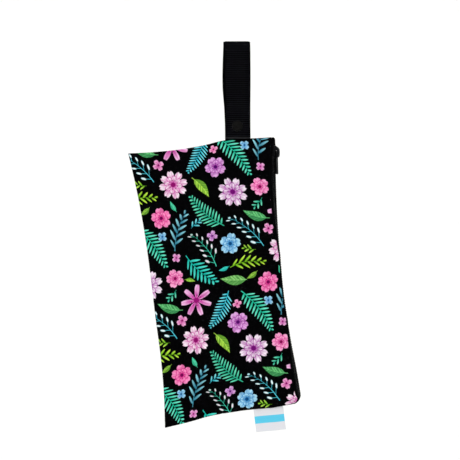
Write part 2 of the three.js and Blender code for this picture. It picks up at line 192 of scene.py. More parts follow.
# Hangs a finished piece on its body and hides the CAD nodes that it stands in for
def settle(piece, body, slot, *nodes):
    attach(piece, body)
    if nodes:
        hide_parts(*nodes)
    return piece


# Puts one or more meshes through some work and keeps the result as the piece's own
def reworked(piece, work, *meshes):
    bm = bmesh.new()
    for mesh in meshes or [piece.data]:
        bm.from_mesh(mesh)
    work(bm)
    bm.to_mesh(piece.data)
    bm.free()
    return piece


def looseRemoved(piece):
    def work(bm):
        loose = [v for v in bm.verts if not v.link_faces]
        bmesh.ops.delete(bm, geom=loose, context="VERTS")

    return reworked(piece, work)


def outwards(piece):
    def work(bm):
        bmesh.ops.remove_doubles(bm, verts=bm.verts, dist=1e-7)
        bmesh.ops.recalc_face_normals(bm, faces=bm.faces)

    return reworked(piece, work)


# Smooth shading that breaks at edges sharper than an angle
def sharpened(piece, degrees):
    def work(bm):
        for edge in bm.edges:
            edge.smooth = edge.calc_face_angle(0) < math.radians(degrees)

    return reworked(piece, work)


def smoothstep(x, low, high):
    t = np.clip((x - low) / (high - low), 0, 1)
    return t * t * (3 - 2 * t)


def between(a, b, t):
    return a + (b - a) * t


def crowded(count):
    return (1 - np.cos(np.pi * np.arange(count + 1) / count)) / 2


# The pouch's rule: cross-sections by share of its length, seams by share of its width, and soft folds
pouch = dict(
    wall=1.2, tilt=7, root=(1.1, 2.5, -109.3), cornerTop=4.2, cornerFoot=12,
    lens=2.2, ends=3, foldFade=2.5, meetsZip=4, meetsCorner=8,
)
zipSizes = dict(
    half=7, halfAtEnds=2.4, endFade=14, hem=2.6, tape=1, tapeFromTop=2, tapeFromFoot=4, step=0.004,
)
sections = dict(
    down=[0.0, 0.12, 0.27, 0.44, 0.6, 0.76, 0.88, 1.0],
    left=[-126.4, -122.5, -119.4, -118.3, -118.5, -118.1, -119.6, -122.9],
    right=[43.0, 39.3, 35.0, 31.5, 30.2, 32.2, 35.1, 36.5],
    belly=[0.0, 8.0, 11.5, 12.8, 13.0, 12.0, 8.6, 0.0],
    zipTurn=[14, 27, 22, 0, -5, 8, 24, 18],
)
seams = dict(
    across=[0.0, 0.18, 0.36, 0.54, 0.67, 0.82, 1.0],
    top=[0.9, 2.8, 3.4, 1.8, -0.7, 0.0, 1.7],
    foot=[317.1, 314.1, 310.0, 308.7, 308.3, 309.1, 309.1],
)
folds = [
    # across, down, heading, length, width, front, back
    (-34, 30, 128, 34, 8, 1.3, 1.0),
    (20, 30, 66, 28, 7, 1.1, 0.9),
    (-4, 34, 95, 40, 13, -1.7, -1.4),
    (-88, 48, 42, 44, 12, 1.5, 1.8),
    (-78, 150, 84, 70, 15, -1.3, 1.1),
    (-14, 205, 80, 62, 14, 1.2, -1.4),
    (-90, 272, -44, 38, 11, 1.4, 1.2),
    (4, 274, 48, 34, 10, 1.3, 1.5),
]
folds += [(20, down, 8, 20, 8, -1.1, -1.1) for down in np.linspace(62, 262, 6)]  # puckers along the zip
seamEase = dict(past=6, fade=14, depth=16)
strapSizes = dict(width=30.5, thick=1.6, loopRadius=11.5, spread=2.5, freeEnd=-109.2, sewnEnd=-121)
labelSizes = dict(across=-3, width=34, shows=26, sewn=9, thick=1, curl=2.2, roll=0.5)


# Smooth curve through one column of a table, over its first column
def column(table, name):
    at, values = np.array(next(iter(table.values())), float), np.array(table[name], float)
    last = len(at) - 1

    def read(x):
        x = np.clip(x, at[0], at[-1])
        i = np.clip(np.searchsorted(at, x, side="right"), 1, last)
        before, after = np.where(i > 1, i - 2, i), np.where(i < last, np.minimum(i + 1, last), i - 1)
        start, end = at[i - 1], at[i]
        p = (x - start) / (end - start)
        weightBefore = (end - start) / 2 / (start - at[before])
        weightAfter = (end - start) / 2 / (at[after] - end)
        blend = weightBefore * (-(p**3) + 2 * p**2 - p)
        leave = (1 + weightBefore) * p**3 - (1.5 + 2 * weightBefore) * p**2 + (weightBefore - 0.5) * p + 1
        reach = -(1 + weightAfter) * p**3 + (1.5 + weightAfter) * p**2 + 0.5 * p
        ahead = weightAfter * (p**3 - p**2)
        return values[before] * blend + values[i - 1] * leave + values[i] * reach + values[after] * ahead

    return read


leftEdge, rightEdge = column(sections, "left"), column(sections, "right")
belly, zipTurn = column(sections, "belly"), column(sections, "zipTurn")
topSeam, footSeam = column(seams, "top"), column(seams, "foot")
zipLength = float(footSeam(1.0) - topSeam(1.0))


def downAt(u, v):
    return between(topSeam(u), footSeam(u), v)


def cornerInset(radius, distance):
    rest = np.maximum(0, radius - distance)
    return radius - np.sqrt(radius * radius - rest * rest)


def zipEdge(v):
    inset = cornerInset(pouch["cornerTop"], v * zipLength)
    inset = inset + cornerInset(pouch["cornerFoot"], (1 - v) * zipLength)
    return np.stack([rightEdge(v) - inset, 0 * v, -downAt(1 + 0 * v, v)], -1)


# The zip's frame at a share of its length: out of its face, across it to the front, and along it
def zipFrame(v):
    v = np.asarray(v, float)
    along = zipEdge(np.minimum(1, v + zipSizes["step"])) - zipEdge(np.maximum(0, v - zipSizes["step"]))
    along /= np.linalg.norm(along, axis=-1, keepdims=True)
    aside = np.stack([-along[..., 2], 0 * v, along[..., 0]], -1)
    front = np.array([0.0, -1.0, 0.0])
    turn = np.radians(zipTurn(v))[..., None]
    opened = smoothstep(np.minimum(v, 1 - v) * zipLength, 0, zipSizes["endFade"])
    half = between(zipSizes["halfAtEnds"], zipSizes["half"], opened)
    return dict(
        along=along,
        out=aside * np.cos(turn) + front * np.sin(turn),
        across=front * np.cos(turn) - aside * np.sin(turn),
        half=half,
        hem=zipSizes["hem"] * half / zipSizes["half"],
        origin=zipEdge(v) - aside * half[..., None] * np.abs(np.sin(turn)),
    )


def zipPoint(zf, across, out):
    aside = zf["across"] * np.asarray(across)[..., None]
    return zf["origin"] + aside + zf["out"] * np.asarray(out)[..., None]


def foldRise(rise, x, down):
    total = 0 * x
    for fold in folds:
        heading = math.radians(fold[2])
        dx, dz = x - fold[0], down - fold[1]
        along = (dx * math.cos(heading) + dz * math.sin(heading)) / fold[3]
        over = (dz * math.cos(heading) - dx * math.sin(heading)) / fold[4]
        total = total + fold[rise] * np.exp(-along * along - over * over)
    return total


# Room in a seam for what is sewn into it
def seamRoom(thick, halfWidth, aside, fromSeam):
    fullTo = halfWidth + seamEase["past"]
    sideways = 1 - smoothstep(np.abs(aside), fullTo, fullTo + seamEase["fade"])
    return (thick / 2 + gap / 2) * sideways * (1 - smoothstep(fromSeam, 1, seamEase["depth"]))


# Middle of a panel's wall; side is 1 for the front panel and -1 for the back one
def panelPoint(side, u, v):
    zf = zipFrame(v)
    end = zipPoint(zf, side * zf["half"], 0 * v - pouch["wall"])
    x = between(leftEdge(v), end[..., 0], u)
    down = between(downAt(u, v), -end[..., 2], u ** pouch["meetsCorner"])
    lens = 1 - np.abs(2 * u - 1) ** pouch["lens"]
    fade = np.minimum(1, pouch["foldFade"] * lens * (1 - np.abs(2 * v - 1) ** pouch["ends"]))
    fold = foldRise(5 if side > 0 else 6, x, down)
    strapRoom = seamRoom(strapSizes["thick"], strapSizes["width"] / 2, x, v * zipLength)
    fromLabel = x - labelSizes["across"]
    labelRoom = seamRoom(labelSizes["thick"], labelSizes["width"] / 2, fromLabel, (1 - v) * zipLength)
    inner = gap / 2 + belly(v) * lens + fold * fade + strapRoom + labelRoom
    free = -side * (inner + pouch["wall"] / 2)
    bare = -side * (gap / 2 + pouch["wall"] / 2)
    return np.stack([x, free + (end[..., 1] - bare) * u ** pouch["meetsZip"], -down], -1)


def tilted(points, degrees):
    tilt = math.radians(degrees)
    x, y, z = np.moveaxis(np.asarray(points, float), -1, 0)
    return np.stack([x * math.cos(tilt) - z * math.sin(tilt), y, x * math.sin(tilt) + z * math.cos(tilt)], -1)


# From the pouch's own frame to the hanging one
def hung(points):
    return tilted(points, pouch["tilt"]) + np.array(pouch["root"])


def gridNormals(points):
    overDown, overAcross = np.gradient(points, axis=0), np.gradient(points, axis=1)
    normals = np.cross(overDown, overAcross)
    return normals / np.linalg.norm(normals, axis=-1, keepdims=True)


def gridFaces(rows, columns, flipped=False):
    j, i = np.meshgrid(np.arange(rows - 1), np.arange(columns - 1), indexing="ij")
    a = (j * columns + i).ravel()
    faces = np.stack([a, a + columns, a + columns + 1, a + 1], -1)
    return faces[:, ::-1] if flipped else faces


# Faces round rings of points, one ring after another
def ringFaces(rings, count):
    ring, k = np.divmod(np.arange((rings - 1) * count), count)
    a, b = ring * count + k, ring * count + (k + 1) % count
    return np.stack([a, b, b + count, a + count], -1).tolist()


# Rings of a profile of radius and height, turned about the height's axis
def turnedRings(profile, count):
    angles = 2 * np.pi * np.arange(count) / count
    radius, height = np.array(profile, float).T[..., None]
    return np.stack([radius * np.cos(angles), radius * np.sin(angles), height + 0 * angles], -1)


# Closed wall about a grid of middle points, with how far out each face stands; its edges share their points.
# A UV map gives each point's place on the outer face and on the inner one.
def wallPiece(name, points, outward, inward, side, mat, uvMaps):
    rows, columns = points.shape[:2]
    normals = side * gridNormals(points)
    outer = points + normals * np.asarray(outward)[..., None]
    inner = points - normals * np.asarray(inward)[..., None]
    index = np.arange(rows * columns).reshape(rows, columns)
    under = index + rows * columns
    for edge in (np.s_[0, :], np.s_[-1, :], np.s_[:, 0], np.s_[:, -1]):
        under[edge] = index[edge]
    upper = gridFaces(rows, columns, side < 0)
    lower = upper[:, ::-1]
    corners = {}
    for key, faceMaps in uvMaps.items():
        outerMap, innerMap = (places.reshape(-1, 2) for places in faceMaps)
        corners[key] = np.concatenate([outerMap[upper], innerMap[lower]])
    faces = np.concatenate([upper, under.ravel()[lower]])
    return newPiece(name, np.concatenate([outer, inner]), faces, mat, corners)


# Ribbon with rounded edges about a grid of middle points; places are how far across and along it each one is
def ribbonPiece(name, points, places, fromEdge, thick, edge, side, mat, uvMap):
    half = thick / 2 * roundedOver(fromEdge, edge)
    onRibbon = np.stack(places, -1) * mm
    return wallPiece(name, points, half, half, side, mat, {uvMap: (onRibbon, onRibbon)})


# Share of full thickness near an edge that is rounded over
def roundedOver(fromEdge, radius):
    rest = np.clip(1 - fromEdge / radius, 0, 1)
    return np.sqrt(1 - rest * rest)


# Print: bright flowers, fronds and sprigs scattered on black, drawn on the cloth's own UV map in millimetres.
# Each motif is a node group in a small frame of its own, and tables set them out on a half-drop repeat.
# A kind is drawn once, in the frame of the nearest of its kind, which keeps the material small.
printRepeat = dict(across=112, up=180)


def motifGroup(name, numbers, colours="dark light"):
    inputs = dict.fromkeys(("x y " + numbers).split(), "Float")
    inputs.update(dict.fromkeys(colours.split(), "Color"))
    return newTree(name, "ShaderNodeTree", inputs, dict(Colour="Color", Cover="Float"))


def motifDrawn(tree, found, layers):
    addNode(tree, "NodeGroupOutput", {"Colour": painted(tree, found, layers), "Cover": found["cover"]})


# Brush strokes: a noise stretched along a motif's own stroke lines
def brushed(tree, found):
    stretched = {k: found["stroke" + axis] for k, axis in enumerate("XYZ")}
    stretched = addNode(tree, "ShaderNodeCombineXYZ", stretched).outputs[0]
    noise = {"Vector": stretched, "Scale": 1.0, "Detail": 1.0}
    return dict(found, brushed=addNode(tree, "ShaderNodeTexNoise", noise).outputs[0])


# a motif's frame on the nearest repeat, turned and scaled, kept where it lies nearer than the ones before it
place, given = newTree(
    "motifPlace", "ShaderNodeTree",
    dict(dict.fromkeys("x y across up turn size slender number far".split(), "Float"), kept="Vector"),
    dict(far="Float", kept="Vector"),
)
found = formulas(place, dict(given, width=printRepeat["across"], height=printRepeat["up"]), """
    drop = floor((x - across) / width + 0.5)
    dx = x - across - drop * width
    rise = y - up - drop * height / 2
    dy = rise - floor(rise / height + 0.5) * height
    localX = (dx * cos(turn) + dy * sin(turn)) / size
    localY = (dy * cos(turn) - dx * sin(turn)) / size
    away = localX * localX * slender + localY * localY
    nearer = above(far, away)
    least = min(far, away)
""")
spot = {0: found["localX"], 1: found["localY"], 2: given["number"]}
spot = addNode(place, "ShaderNodeCombineXYZ", spot).outputs[0]
kept = {0: found["nearer"], 4: given["kept"], 5: spot}
kept = addNode(place, "ShaderNodeMix", kept, data_type="VECTOR").outputs[1]
addNode(place, "NodeGroupOutput", {"far": found["least"], "kept": kept})

# open flower with two rings of petals round a dark eye
blossom, given = motifGroup("blossom", "petals slim cleft", "dark light eye")
found = formulas(blossom, given, """
    r = sqrt(x * x + y * y)
    strokeX = 0.8 * petals * x / max(r, 0.01)
    strokeY = 0.8 * petals * y / max(r, 0.01)
    strokeZ = 1.6 * r
""")
found = formulas(blossom, brushed(blossom, found), """
    angle = atan2(y, x)
    strokes = smooth(brushed, 0.34, 0.66)
    lobe = abs(cos(angle * petals / 2))
    outline = (cleft + (1 - cleft) * lobe ** slim) * (1 - 0.08 * smooth(lobe, 0.93, 1))
    cover = smooth(outline - r, 0, 0.04)
    blush = smooth(r / outline, 0.15, 0.95) * (0.75 + 0.25 * abs(sin(angle * petals * 2)))
    shade = (1 - smooth(lobe, 0.05, 0.42)) * smooth(r, 0.2, 0.5) * 0.75
    turned = abs(sin(angle * petals / 2))
    innerLine = 0.62 * (cleft + (1 - cleft) * turned ** slim)
    inner = smooth(innerLine - r, 0, 0.03)
    innerBlush = smooth(r / innerLine, 0.2, 1.05)
    rim = (1 - smooth(abs(r - innerLine), 0.015, 0.07)) * 0.8
    tone = (blush * (1 - shade) * (1 - inner) + innerBlush * inner) * (1 - rim) * (0.5 + 0.7 * strokes)
    stamen = 0.3 * sin(angle * 4.5) / 4.5
    dots = smooth(0.05 - sqrt((r - 0.3) * (r - 0.3) + stamen * stamen), 0, 0.03)
    heart = max(smooth(0.19 - r, 0, 0.06), dots)
""")
motifDrawn(blossom, found, ["dark", ("tone", "light"), ("heart", "eye")])

# bent stem with slanting leaflets on both sides
stemLines = """
    s = y + 0.5
    bent = x - bend * (4 * y * y - 0.4)
    aside = abs(bent)
    right = above(bent, 0)
    count = (s - aside * slant) * pairs + 0.5 * right
    cell = floor(count)
    along = (cell + 0.5 - 0.5 * right) / pairs
    over = (count - cell - 0.5) / pairs
    live = above(along, 0.06) * above(0.98, along)
    stem = smooth(0.011 * (1.25 - s) - aside, 0, 0.006) * above(s, 0) * above(1, s)
"""
stemForm = "pairs reach slant bend width"
spray, given = motifGroup("leafSpray", stemForm)
found = formulas(spray, given, stemLines + """
    leafReach = max(reach * smooth(along, -0.25, 0.3) * (1 - 0.85 * along * along), 0.001)
    q = min(aside / leafReach, 1)
    leafHalf = max(width * 2 * sqrt(max(q * (1 - q), 0)) * (1.15 - 0.4 * q), 0.0001)
    cover = max(smooth(leafHalf - abs(over), 0, 0.007) * live, stem)
    vary = 0.22 * sin(cell * 2.4 + right * 1.3)
    tone = smooth(q, 0, 1) * 0.7 + 0.3 * (1 - smooth(abs(over) / leafHalf, 0.05, 0.5)) + vary
""")
motifDrawn(spray, found, ["dark", ("tone", "light")])

# the same stem with buds on side stalks
buds, given = motifGroup("budSprig", stemForm)
found = formulas(buds, given, stemLines + """
    stalkReach = reach * (1 - 0.6 * along)
    stalk = smooth(0.009 - abs(over), 0, 0.005) * above(stalkReach, aside) * live
    budSize = width * (1.1 - 0.45 * along)
    fromBud = sqrt((aside - stalkReach) * (aside - stalkReach) + over * over)
    fromTip = sqrt(bent * bent + (s - 1) * (s - 1))
    bud = max(smooth(budSize - fromBud, 0, 0.01) * live, smooth(width * 0.7 - fromTip, 0, 0.01))
    cover = max(max(stalk, stem), bud)
    tone = bud * (1 - 0.5 * smooth(fromBud / budSize, 0.2, 1))
""")
motifDrawn(buds, found, ["dark", ("tone", "light")])

# single veined leaf, lighter on one side of its rib
oneLeaf, given = motifGroup("veinedLeaf", "width bend")
found = formulas(oneLeaf, given, """
    s = min(max(y + 0.5, 0), 1)
    bent = x - bend * (4 * y * y - 0.4)
    aside = abs(bent)
    strokeX = 6 * bent
    strokeY = 30 * (s - aside * 1.1)
    strokeZ = 9 * width
""")
found = formulas(oneLeaf, brushed(oneLeaf, found), """
    leafHalf = width * sin(pi * s ** 0.8) * (1.1 - 0.3 * s)
    blade = smooth(leafHalf - aside, 0, 0.02) * above(0.5, abs(y))
    stem = smooth(0.018 - aside, 0, 0.012) * above(0.62, abs(y)) * above(0, y)
    cover = max(blade, stem)
    veins = smooth(abs(sin((s - aside * 1.1) * pi * 7)), 0.75, 1)
    halves = 0.25 + 0.5 * smooth(bent, -0.02, 0.02) + 0.3 * s
    strokes = 0.45 + 0.95 * smooth(brushed, 0.34, 0.66)
    tone = halves * (1 - 0.7 * veins) * strokes + 0.5 * (1 - smooth(aside, 0.008, 0.025))
""")
motifDrawn(oneLeaf, found, ["dark", ("tone", "light")])

motifKinds = [
    # group, how slender it is, its form, and a row for each: across, up, turn, size, dark, light and eye
    (oneLeaf, 6, dict(width=0.2, bend=0.06), [
        (95, 20, 78, 30, "2f7e30", "94d87c"), (17, 1, 67, 28, "1d7040", "70d080"),
        (76, 130, 209, 27, "3a8426", "b6e650"), (5, 112, 120, 14, "357a1e", "a6d650"),
        (39, 115, 20, 13, "1a9a72", "5ee8b8"), (47, 28, 250, 12, "3a8426", "b6e650"),
        (86, 34, 100, 12, "0c9a94", "44e0d0"),
    ]),
    (spray, 4, dict(pairs=3, reach=0.34, width=0.09, slant=0.9, bend=0.06), [
        (23, 14, 130, 17, "1fae8c", "84f0cc"), (62, 91, 300, 16, "25aabc", "90eef4"),
        (5, 143, 75, 16, "66ae20", "c8f05c"),
    ]),
    (spray, 6, dict(pairs=13, reach=0.21, width=0.025, slant=0.55, bend=0.07), [
        (8, 72, 211, 58, "1cc09c", "7cf6d8"), (75, 102, 38, 53, "26b48e", "76f0c8"),
        (77, 168, 145, 47, "28b8cc", "8af0f8"),
    ]),
    (spray, 5, dict(pairs=9, reach=0.24, width=0.036, slant=0.8, bend=-0.06), [
        (60, 37, 221, 49, "14b6a6", "58ecda"),
    ]),
    (spray, 5, dict(pairs=6, reach=0.2, width=0.045, slant=1.0, bend=0.08), [
        (42, 87, 334, 49, "30809a", "96dae6"), (3, 127, 272, 43, "6cb41c", "ccf24e"),
    ]),
    (buds, 5, dict(pairs=6, reach=0.16, width=0.044, slant=1.0, bend=-0.08), [
        (68.5, 60, 30, 47, "46d4b4", "fde2f4"), (7, 164, 44, 49, "52cce0", "f6fdfe"),
    ]),
    (blossom, 1, dict(petals=4, slim=0.6, cleft=0.3), [
        (31, 164, 20, 7, "d436a0", "fdc6ea", "7a1058"), (78, 74, 70, 6.5, "a83cb0", "eec4f0", "501060"),
        (21, 82, 45, 6, "2f8cd0", "b6e8fb", "164a7f"), (97, 172, 10, 5.5, "e0409c", "ffc4e4", "84164d"),
        (34, 56, 30, 5.5, "cc34a8", "f8c8ec", "8c1467"),
    ]),
    (blossom, 1, dict(petals=7, slim=1.5, cleft=0.1), [
        (51, 4, 233, 20, "cc2fa4", "fac6ee", "a01578"),
    ]),
    (blossom, 1, dict(petals=5, slim=0.4, cleft=0.5), [
        (23, 103, 238, 12.5, "e0288c", "ff9cce", "780c50"), (97, 61, 289, 12.5, "2f8cd0", "b4e6fa", "164a7f"),
        (95, 151, 37, 12.5, "a436a6", "eab2ea", "521066"), (29, 33, 178, 11, "e23c9a", "ffb4dc", "84164d"),
    ]),
    (blossom, 1, dict(petals=8, slim=0.5, cleft=0.42), [
        (109, 119, 331, 17.5, "b238ac", "fbf0fa", "701470"), (44, 139, 95, 17, "d03ca8", "fef0fa", "8c1467"),
    ]),
]

# Printed polyester laminate: a smooth close knit, dyed deep black between inks that lie matt in it, with pale
# painted highlights along the creases where it was packed folded. The knit is drawn coarser than its real 0.5
# mm loops so that it shows.
laminateLook = dict(ground=["000000", ("tone", "07070a")], mottle=7, bumps=0.4, knitDepth=0.12)
# where the creases run: their pale lines in the ground are painted highlight, and they are pressed in as
# relief too
creases = dict(
    loop=1.0, halved=82, halvedFrom=112, halvedTo=236, crossed=229, crossedFrom=26, crossedTo=96, fade=20,
)
laminate, tree, shader = newMaterial("Printed polyester laminate", Specular_IOR_Level=0.012)
cloth = patternAt(tree, laminateLook["mottle"], 3.0, "cloth")
# crease marks the fold lines: it is pressed in as relief, and it is laid lighter into the tone as a painted
# highlight
found = formulas(tree, dict(creases, **cloth), """
    knit = sin(2 * pi * x / loop) * sin(2 * pi * y / loop)
    down = 0 - y
    lengthwise = 1 - smooth(abs(x - halved - 0.7 * sin(y / 9)), 0.2, 1)
    crosswise = 1 - smooth(abs(down - crossed - 0.7 * sin(x / 8)), 0.2, 1)
    lengthwise = lengthwise * smooth(down, halvedFrom, halvedFrom + fade)
    lengthwise = lengthwise * (1 - smooth(down, halvedTo - fade, halvedTo))
    crosswise = crosswise * smooth(x, crossedFrom, crossedFrom + fade)
    crosswise = crosswise * (1 - smooth(x, crossedTo - fade, crossedTo))
    crease = max(lengthwise, crosswise) * smooth(uneven, 0.3, 0.6)
    tone = 0.2 + 0.4 * uneven + 0.2 * knit + 0.8 * crease
    soaked = (0.64 + 0.4 * uneven) * (0.95 + 0.05 * knit)
    relief = knit + 2 * crease
    rough = 0.6 + 0.22 * uneven
""")
ground = painted(tree, found, laminateLook["ground"])
inks = ground
for group, slender, form, motifs in motifKinds:
    far, kept = 1e6, (0, 0, 0)
    for number, (across, up, turn, size, *codes) in enumerate(motifs):
        lies = dict(x=cloth["x"], y=cloth["y"], across=across, up=up, turn=math.radians(turn), size=size)
        lies.update(slender=slender, number=(number + 0.5) / len(motifs), far=far, kept=kept)
        far, kept = addNode(tree, "ShaderNodeGroup", lies, node_tree=place).outputs
    own = addNode(tree, "ShaderNodeSeparateXYZ", {0: kept}).outputs
    paints = {}
    for ink, codes in zip(("dark", "light", "eye"), zip(*(row[4:] for row in motifs))):
        table = addNode(tree, "ShaderNodeValToRGB", {0: own[2]})
        table.color_ramp.interpolation = "CONSTANT"
        stops = table.color_ramp.elements
        stops.remove(stops[1])
        for number, code in enumerate(codes):
            stop = stops.new(number / len(codes)) if number else stops[0]
            stop.color = colour(code)
        paints[ink] = table.outputs[0]
    form = dict(form, **paints, x=own[0], y=own[1])
    drawn = addNode(tree, "ShaderNodeGroup", form, node_tree=group).outputs
    inks = painted(tree, drawn, [inks, ("Cover", drawn["Colour"])])
# the hems along the zip are bound in plain black, as the lining is
bound = addNode(tree, "ShaderNodeAttribute", attribute_name="bound").outputs["Fac"]
inks = painted(tree, dict(bound=bound), [inks, ("bound", ground)])
soaked = {0: inks, "Scale": found["soaked"]}
soaked = addNode(tree, "ShaderNodeVectorMath", soaked, operation="SCALE").outputs[0]
finished(tree, shader, found, soaked, laminateLook["bumps"], laminateLook["knitDepth"])
print("print:", sum(len(kind[3]) for kind in motifKinds), "motifs of", len(motifKinds), "kinds")


# Panels: a fine grid over each, slackened by a cloth simulation whose edges are sewn
panel = dict(
    columns=92, rows=176, turn=1.2, turnShare=0.45, turnSteps=6, hemSteps=4, edge=1.3, flat=(166, 313),
)
slack = dict(ease=14, every=2, frames=24, cap=3.0)
slackSettings = dict(
    vertex_group_mass="sewn", quality=8, mass=0.0002, tension_stiffness=40, compression_stiffness=40,
    shear_stiffness=40 / 3, bending_stiffness=0.05, air_damping=4, shrink_min=-0.010, use_pressure=True,
    uniform_pressure_force=0.4,
)
puckering = dict(
    depth=0.24, reach=11, pitch=9.5, peak=4, stray=1.7, strayRate=1.3, beat=0.4, beatRate=0.73, untilZip=0.9,
)
bakeMap = dict(outerFrom=(0.01, 0.01), outer=(0.84, 0.98), innerFrom=(0.87, 0.01), inner=(0.12, 0.98))


# Doubles a grid's steps along one axis, by a cubic through its neighbours
def doubled(values, axis):
    values = np.moveaxis(values, axis, 0)
    before, after = 2 * values[:1] - values[1:2], 2 * values[-1:] - values[-2:-1]
    p = np.concatenate([before, values, after])
    middles = (-p[:-3] + 9 * p[1:-2] + 9 * p[2:-1] - p[3:]) / 16
    result = np.empty((2 * len(values) - 1,) + values.shape[1:])
    result[0::2], result[1::2] = values, middles
    return np.moveaxis(result, 0, axis)


def slackened(side, points):
    coarse = hung(points[:: slack["every"], :: slack["every"]])
    rows, columns = coarse.shape[:2]
    cloth = newPiece("slackCloth", coarse, gridFaces(rows, columns, side < 0), laminate)
    j, i = np.divmod(np.arange(rows * columns), columns)
    sewn = np.flatnonzero((j == 0) | (j == rows - 1) | (i == 0) | (i == columns - 1))
    cloth.vertex_groups.new(name="sewn").add([int(k) for k in sewn], 1.0, "REPLACE")
    modifier = cloth.modifiers.new("slack", "CLOTH")
    for key, value in slackSettings.items():
        setattr(modifier.settings, key, value)
    modifier.collision_settings.use_collision = False
    modifier.point_cache.frame_end = slack["frames"]
    for step in range(1, slack["frames"] + 1):
        bpy.context.scene.frame_set(step)
    seen = cloth.evaluated_get(bpy.context.evaluated_depsgraph_get())
    moved = np.array([v.co for v in seen.data.vertices]).reshape(rows, columns, 3) / mm - coarse
    bpy.context.scene.frame_set(1)
    bpy.data.objects.remove(cloth)
    size = np.linalg.norm(moved, axis=-1, keepdims=True)
    most, usual = (round(float(amount), 2) for amount in (size.max(), size.mean()))
    print("slack cloth moved", most, "mm at most,", usual, "on average")
    moved *= np.minimum(1, slack["cap"] / np.maximum(size, 1e-6))
    return doubled(doubled(tilted(moved, -pouch["tilt"]), 0), 1)


def panelPiece(name, side):
    wide, high = panel["flat"]
    v = crowded(panel["rows"])[:, None]
    zf = zipFrame(v[:, 0])
    turn = np.minimum(panel["turn"], panel["turnShare"] * zf["hem"])
    width = zf["origin"][:, 0] - leftEdge(v[:, 0])
    share = crowded(panel["columns"])[None, :]
    u = share * (1 - turn / width)[:, None]
    main = panelPoint(side, u, v + 0 * u)
    across, down = u * width[:, None], v * high + 0 * u
    fromEnd = np.minimum(down, high - down)
    fromSeam = np.minimum(across, fromEnd)
    main = main + slackened(side, main) * smoothstep(fromSeam, 0, slack["ease"])[..., None]
    # stitching draws the seams into small puckers
    run = np.where(across < fromEnd, down, across) / puckering["pitch"]
    stray = puckering["stray"] * np.sin(run * puckering["strayRate"] + side)
    beat = puckering["beat"] * np.sin(run * puckering["beatRate"] + 2 * side)
    ripple = np.sin(2 * np.pi * run + stray) * (1 - puckering["beat"] + beat)
    swell = (fromSeam / puckering["peak"]) * np.exp(1 - fromSeam / puckering["peak"])
    swell = swell * (1 - smoothstep(fromSeam, puckering["reach"], 2 * puckering["reach"]))
    ripple = ripple * (1 - smoothstep(share, puckering["untilZip"], 1))
    main[..., 1] -= side * puckering["depth"] * ripple * swell
    # the fold over the zip, and the hem laid on its tape
    face = 0 * turn - pouch["wall"] / 2
    corner = zipPoint(zf, side * zf["half"], 2 * face)
    hemStart = zipPoint(zf, side * (zf["half"] - turn), face)
    columns = [main]
    for t in np.arange(1, panel["turnSteps"] + 1) / panel["turnSteps"]:
        bent = (1 - t) ** 2 * main[:, -1] + 2 * t * (1 - t) * corner + t * t * hemStart
        columns.append(bent[:, None])
    for t in np.arange(1, panel["hemSteps"] + 1) / panel["hemSteps"]:
        reach = between(turn, zf["hem"], t)
        columns.append(zipPoint(zf, side * (zf["half"] - reach), face)[:, None])
    points = np.concatenate(columns, axis=1)
    steps = np.linalg.norm(np.diff(points, axis=1), axis=-1)
    flatAcross = np.concatenate([np.zeros((len(steps), 1)), np.cumsum(steps, axis=1)], axis=1)
    flatDown = np.broadcast_to(v * high, flatAcross.shape)
    fromSides = np.minimum(flatAcross, flatAcross[:, -1:] - flatAcross)
    fromEnds = np.minimum(flatDown, high - flatDown)
    thick = pouch["wall"] * roundedOver(np.minimum(fromSides, fromEnds), panel["edge"])
    onCloth = np.stack([flatAcross if side > 0 else wide - flatAcross, -flatDown], -1) * mm
    # the outer face has most of the bake map, the hidden inner one a strip beside it
    spot = np.stack([flatAcross / flatAcross[:, -1:], np.broadcast_to(1 - v, flatAcross.shape)], -1)
    onBake = [np.array(bakeMap[part + "From"]) + spot * bakeMap[part] for part in ("outer", "inner")]
    half = 0 * thick + pouch["wall"] / 2
    uvMaps = dict(cloth=(onCloth, onCloth), OFBake=onBake)
    piece = wallPiece(name, hung(points), thick - half, half, side, laminate, uvMaps)
    bound = np.zeros(flatAcross.shape)
    bound[:, main.shape[1]:] = 1
    addValues(piece, "bound", np.concatenate([bound.ravel(), np.ones(bound.size)]))
    return looseRemoved(piece)


panels = dict(bag_front=panelPiece("frontPanel", 1), bag_back=panelPiece("backPanel", -1))
for node, piece in panels.items():
    settle(piece, "pouch", "printed_cloth", node)
print("panels:", sum(len(piece.data.polygons) for piece in panels.values()), "faces")


# Ends a Geometry Nodes tree: its instances made real and given their material
def ended(tree, given, geometry):
    real = addNode(tree, "GeometryNodeRealizeInstances", {"Geometry": geometry}).outputs[0]
    coated = {"Geometry": real, "Material": given["Finish"]}
    coated = addNode(tree, "GeometryNodeSetMaterial", coated).outputs[0]
    addNode(tree, "NodeGroupOutput", {0: coated})


# Geometry Nodes: one shape set along a line at an even pitch, standing on the line's own up direction
alongLine, given = newTree(
    "shapesAlongLine", "GeometryNodeTree",
    dict(Line="Geometry", Shape="Object", Pitch="Float", Vary="Float", Seed="Int", Finish="Material"),
    dict(Shapes="Geometry"),
)
curve = addNode(alongLine, "GeometryNodeMeshToCurve", {"Mesh": given["Line"]}).outputs[0]
spaced = {"Curve": curve, "Length": given["Pitch"]}
spaced = addNode(alongLine, "GeometryNodeResampleCurve", spaced, mode="LENGTH").outputs[0]
tangent = addNode(alongLine, "GeometryNodeInputTangent").outputs[0]
up = addNode(alongLine, "GeometryNodeInputNamedAttribute", {"Name": "up"}, data_type="FLOAT_VECTOR")
turned = addNode(alongLine, "FunctionNodeAlignRotationToVector", {"Vector": tangent}, axis="X").outputs[0]
turned = {"Rotation": turned, "Vector": up.outputs[0]}
turned = addNode(alongLine, "FunctionNodeAlignRotationToVector", turned, axis="Z", pivot_axis="X").outputs[0]
found = formulas(alongLine, given, """
    least = 1 - Vary
    most = 1 + Vary
""")
scale = {2: found["least"], 3: found["most"], "Seed": given["Seed"]}
